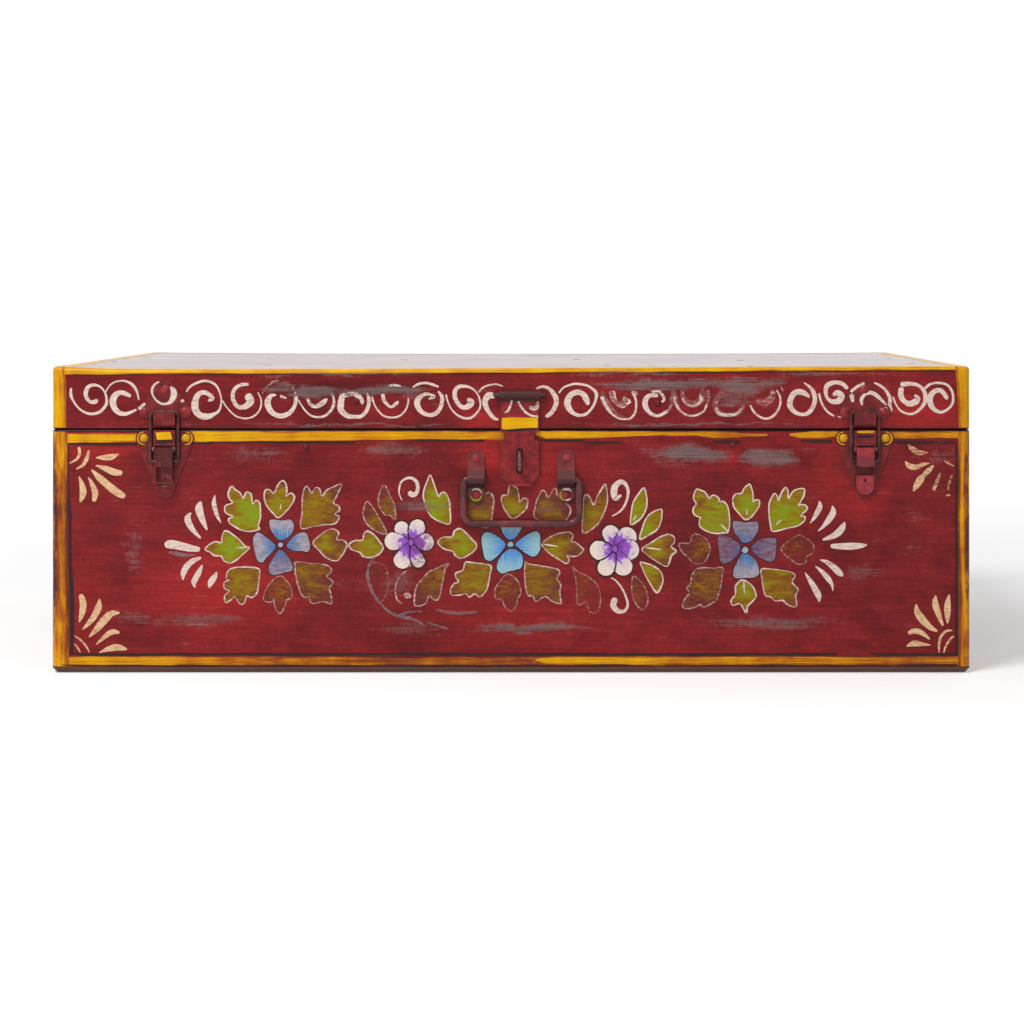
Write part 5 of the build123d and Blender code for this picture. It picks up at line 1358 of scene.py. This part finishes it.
        338.8, 218.3, 2.4, 342.7, 223.7, 3, 343.5, 229.8, 3.4, 341.2, 235.2, 2.8, 336.5, 238.7, 2.8,
        330.4, 239.5, 3.4, 324.2, 239.1, 4]),
    (0, [323.5, 235.2, 4.4, 323.1, 229.8, 4.6, 325.8, 225.2, 4, 330.4, 222.9, 4.6, 335, 224.5, 5.4, 337.3, 227.2, 4,
        335, 229.8, 2]),
    (0, [343.5, 236, 2.4, 348.1, 239.5, 2, 355, 240.2, 2, 361.2, 238.7, 2, 365, 234.5, 2, 366.5, 229.1, 2,
        365.8, 222.9, 2, 361.9, 218.3, 2, 356.5, 216, 2.4, 351.2, 217.9, 3.4, 347.7, 222.9, 4.6, 347.7, 229.1, 4.8,
        351.2, 233.3, 4, 355.8, 234.1, 3.6, 358.8, 231.4, 3.6, 361.2, 227.5, 3]),
    (0.2, [271, 212.4, 1, 273.1, 211.8, 1.6, 275.4, 212.6, 1]),
]
catchScrolls = [
    (0.1, [-308, 219.1, 2.6, -305.5, 221, 2.6, -303.5, 222.9, 2.2]),
    (0.05, [-291.9, 241, 1.6, -295.4, 238.7, 1.8, -297.3, 234.5, 2, -296.5, 229.8, 1.4, -293.5, 225.6, 1.6,
        -288.8, 222.9, 2, -284.2, 223.3, 2.2, -281.2, 225.6, 4, -279.2, 229.8, 5, -279.6, 234.1, 4.5,
        -281.5, 236.4, 2.4]),
    (0.1, [-272.7, 225.2, 2.4, -271.5, 225.6, 2.4]),
    (0.1, [281.9, 233.3, 2.4, 286.9, 237.2, 2.4, 292.3, 239.8, 2]),
    (0.05, [290.8, 222.2, 1.6, 290.4, 226.8, 3, 293.1, 230.6, 2.4, 297.7, 232.2, 3.2, 302.3, 230.2, 3.4,
        306.2, 226.8, 2.6, 310.8, 222.2, 1.2]),
    (0.1, [282.3, 229.8, 4, 283.1, 225.2, 2.6]),
    (0.1, [306.9, 218.3, 1.6, 310.8, 219.1, 2, 312.3, 216, 1.6]),
]
haspScrolls = [
    (0.15, [0.8, 225.6, 1.4, -0.4, 221.4, 2, -2.3, 217.5, 2, -5, 215.6, 1]),
    (0.15, [6.2, 224.8, 1.8, 8.5, 220.6, 1.8, 12.3, 216, 1.8, 16.9, 213.3, 1.6, 22, 212.5, 1.6]),
    (0.2, [16.2, 219.8, 3, 20, 219.1, 3.4, 22, 221.4, 3, 22.2, 224.8, 1.2]),
]
# how far a painted face stands before the trunk's own
plateProud = {"catch": 1.2, "hasp": 3.0, "clip": 1.5, "block": 4.6}
onCatch, onHasp, onClip, onBlock = [onPlate(plateProud[name]) for name in ("catch", "hasp", "clip", "block")]
lidWhite, haspWhite = newPot(), newPot()
brushOn(lidWhite, scrolls)
brushOn(lidWhite, catchScrolls, onCatch)
brushOn(haspWhite, haspScrolls, onHasp)
pour("lidScrollsWhite", lidWhite, white, "lid")


# border yellow caught by the latches, and the leaf paint that ran over the handle clips' feet
def arcSpine(centre, size, first, last, width):
    spine = []
    for i in range(7):
        a = math.radians(first + (last - first) * i / 6)
        thin = width * (1 - abs(i / 3 - 1) * 0.5)
        spine.append((centre[0] + size * math.cos(a), centre[1] + size * math.sin(a), thin))
    return spine


latches = {"middles": (-286.7, 293.0), "rivetAside": 17.3, "rivetHeight": 194.4}
clips = {"left": -28.9, "right": 45.9, "foot": 147.6}
plateYellow, clipGreen, clipWhite, clipBlack, pinkHighlights = newPot(), newPot(), newPot(), newPot(), newPot()
for middle in latches["middles"]:
    for side, first, last in ((-1, 95, 275), (1, 85, -95)):
        rivet = (middle + side * latches["rivetAside"], latches["rivetHeight"])
        addStroke(plateYellow, arcSpine(rivet, 5.2, first, last, 1.8), onCatch, wear=0.3)
        addStroke(clipBlack, arcSpine(rivet, 6.4, first + side * 10, last - side * 30, 0.9), onCatch, wear=0.1)
        addStroke(clipBlack, arcSpine(rivet, 4.2, 0, 340, 0.7), onCatch, wear=0.12)
# yellow dabs on the raised middles, and the shadowy line under them
leftDab = rows([-293.8, 199.2, -287, 199.8, -281.6, 199.9, -279.9, 193.8, -286, 193.5, -292.4, 193.3], 2)
addPatch(plateYellow, leftDab, (-330, 197), (-230, 197), onBlock, soft=False, wear=-0.1)
brushOn(plateYellow, [(0.1, [286.9, 199.8, 1.6, 293, 199.9, 2.4, 300, 200, 1.8])], onBlock, ragged=0.3)
dabLines = [(0.05, [-293, 192.2, 1.8, -287, 191.9, 2.6, -280.4, 192.2, 2])]
dabLines += [(0.1, [286.4, 196.4, 2, 293, 196.2, 3, 300, 196.3, 2])]
brushOn(clipBlack, dabLines, onBlock)
# pink strokes on the left latch's plate under its lever: a painted highlight where the lever's tail shines
pinkHighlightStrokes = [(0.2, [-289.4, 168.4, 1, -288.4, 165, 2.4, -288.6, 161, 1.6])]
pinkHighlightStrokes += [(0.2, [-286.4, 165, 1.6, -284.2, 163, 3.6, -282.2, 161.2, 2.4])]
brushOn(pinkHighlights, pinkHighlightStrokes, onCatch)
# the hasp's own yellow band and the dark line under it
haspYellow, haspBlack = newPot(), newPot()
haspBand = [-7.6, 202.6, -7.4, 211.2, 0, 211.9, 12, 211.7, 22.2, 211.4, 22.3, 203.4, 10, 202.9, 0, 202.2, -4, 201.4]
addPatch(haspYellow, rows(haspBand, 2), (-60, 207), (40, 207), onHasp, soft=False, wear=0.05)
brushOn(haspBlack, [(0.05, [-6, 201.2, 1.2, 0, 201, 1.8, 10, 201.6, 2, 22, 202.3, 1.4])], onHasp, coat=1)
pour("haspLining", haspBlack, black, "hasp")
pour("haspYellow", haspYellow, yellow, "hasp")
pour("latchPaintedPinkHighlight", pinkHighlights, pinkHighlight, "carcass")
# arcs round the clips' foot rivets: side, first and last angle, paint, radius, width, wear
clipArcs = [
    ("left", 190, 350, clipGreen, 4.7, 2.2, -0.1), ("left", 180, 360, clipBlack, 6.2, 1.1, 0.05),
    ("left", 20, 130, clipWhite, 4.9, 1.8, 0.1), ("right", 130, 240, clipGreen, 4.9, 2.2, -0.1),
    ("right", 40, 125, clipWhite, 4.9, 2.6, 0.02), ("right", 250, 330, clipBlack, 6.2, 1.1, 0.1),
    ("right", 255, 320, clipWhite, 4.4, 1.3, 0.15),
]
for side, first, last, pot, size, width, wear in clipArcs:
    addStroke(pot, arcSpine((clips[side], clips["foot"]), size, first, last, width), onClip, wear=wear)
pour("latchYellow", plateYellow, yellow, "carcass")
pour("clipGreen", clipGreen, leaf, "carcass")
pour("clipWhite", clipWhite, white, "carcass")
pour("fittingLining", clipBlack, black, "carcass")
pour("haspScrollsWhite", haspWhite, white, "hasp")
print("ornament painted")

# ---- the fittings keep their own shapes and take their finishes: name, deep and bright tone, share of the bright one,
# bands of another tone, wear and painted highlight of the edges, share rubbed bare, gloss
# painted shade on the handle clips: darker on the bend round the rod, darkest under it
clipShadeBands = [(161.0, 168.5, "#5A2828"), (150.5, 161.0, "#421A1E")]
# painted shade on the right lever: darker on the low part of its face, darkest in the gap under it
leverShadeBands = [(171.6, 179.4, "#7E3038"), (163.6, 171.6, "#3A1418")]
fittingFinishes = {
    "maroon": ("wornMaroonPaintOnSteel", "#651A1E", "#8E282A", 0.6, (), 0.5, 0.05),
    "clip": ("wornMaroonPaintOnClips", "#6A1E22", "#902C2E", 0.55, clipShadeBands, 0.5, 0.12, 0.25),
    "hasp": ("wornRedPaintOnHasp", "#701A1E", "#9C2A2C", 0.65, [(224.8, 240.0, "#4A2828")], 0.4, 0.0),
    "darkLever": ("wornDarkMaroonPaintOnSteel", "#4C1A1C", "#76292B", 0.5, (), 0.6, 0.06),
    # the right lever: red paint, painted brighter than its twin on the left for the light its face catches
    "redLever": ("wornRedPaintOnSteel", "#962C34", "#B4444E", 0.6, leverShadeBands),
    "rivet": ("wornRedPaintOnRivets", "#84262A", "#B03A3E", 0.6, [(191.5, 199.0, "#D89A10")], 0.3, 0.05),
    "hiddenRivet": ("maroonPaintOverRivets", "#5A181C", "#7C2226", 0.5, (), 0.25, 0.02),
    "rod": ("handRubbedPaintOnRod", "#4A1C22", "#7A2E30", 0.55, (), 0.3, 0.25, 0.35),
    "loop": ("wornPaintOnLatchLoops", "#40221F", "#6A4440", 0.5, (), 0.7, 0.4),
}
fittingFinishes = {kind: fittingPaint(*look) for kind, look in fittingFinishes.items()}
fittingFinishes["steel"] = handledSteel()
pairs = {
    "maroon": ["latch_catch", "latch_base", "hinge_body_leaf", "hinge_lid_leaf"], "clip": ["handle_clip"],
    "loop": ["latch_loop"], "steel": ["lever_pin", "hinge_pin"],
}
fittingNodes = {kind: [name + side for name in names for side in ("_left", "_right")] for kind, names in pairs.items()}
fittingNodes["maroon"] += ["staple_washers"]
fittingNodes["steel"] += ["staple"]
fittingNodes.update({"hasp": ["hasp_plate"], "darkLever": ["latch_lever_left"], "redLever": ["latch_lever_right"]})
fittingNodes.update({"hiddenRivet": ["band_rivets", "lid_rivets"], "rod": ["handle_bail", "hasp_hanger"]})
fittingNodes["rivet"] = [part + "_rivets" for part in ("latch_base", "catch", "clip", "hinge_body", "hinge_lid")]
finishes = {name: fittingFinishes[kind] for kind, names in fittingNodes.items() for name in names}
finishes.update({"body_shell": enamel, "rim_band": oxide, "bottom_plate": seamBrown, "lid_shell": enamel})
for name, node in nodes.items():
    for place in node.material_slots:
        place.material = finishes[name]
print("fittings finished:", len(finishes))
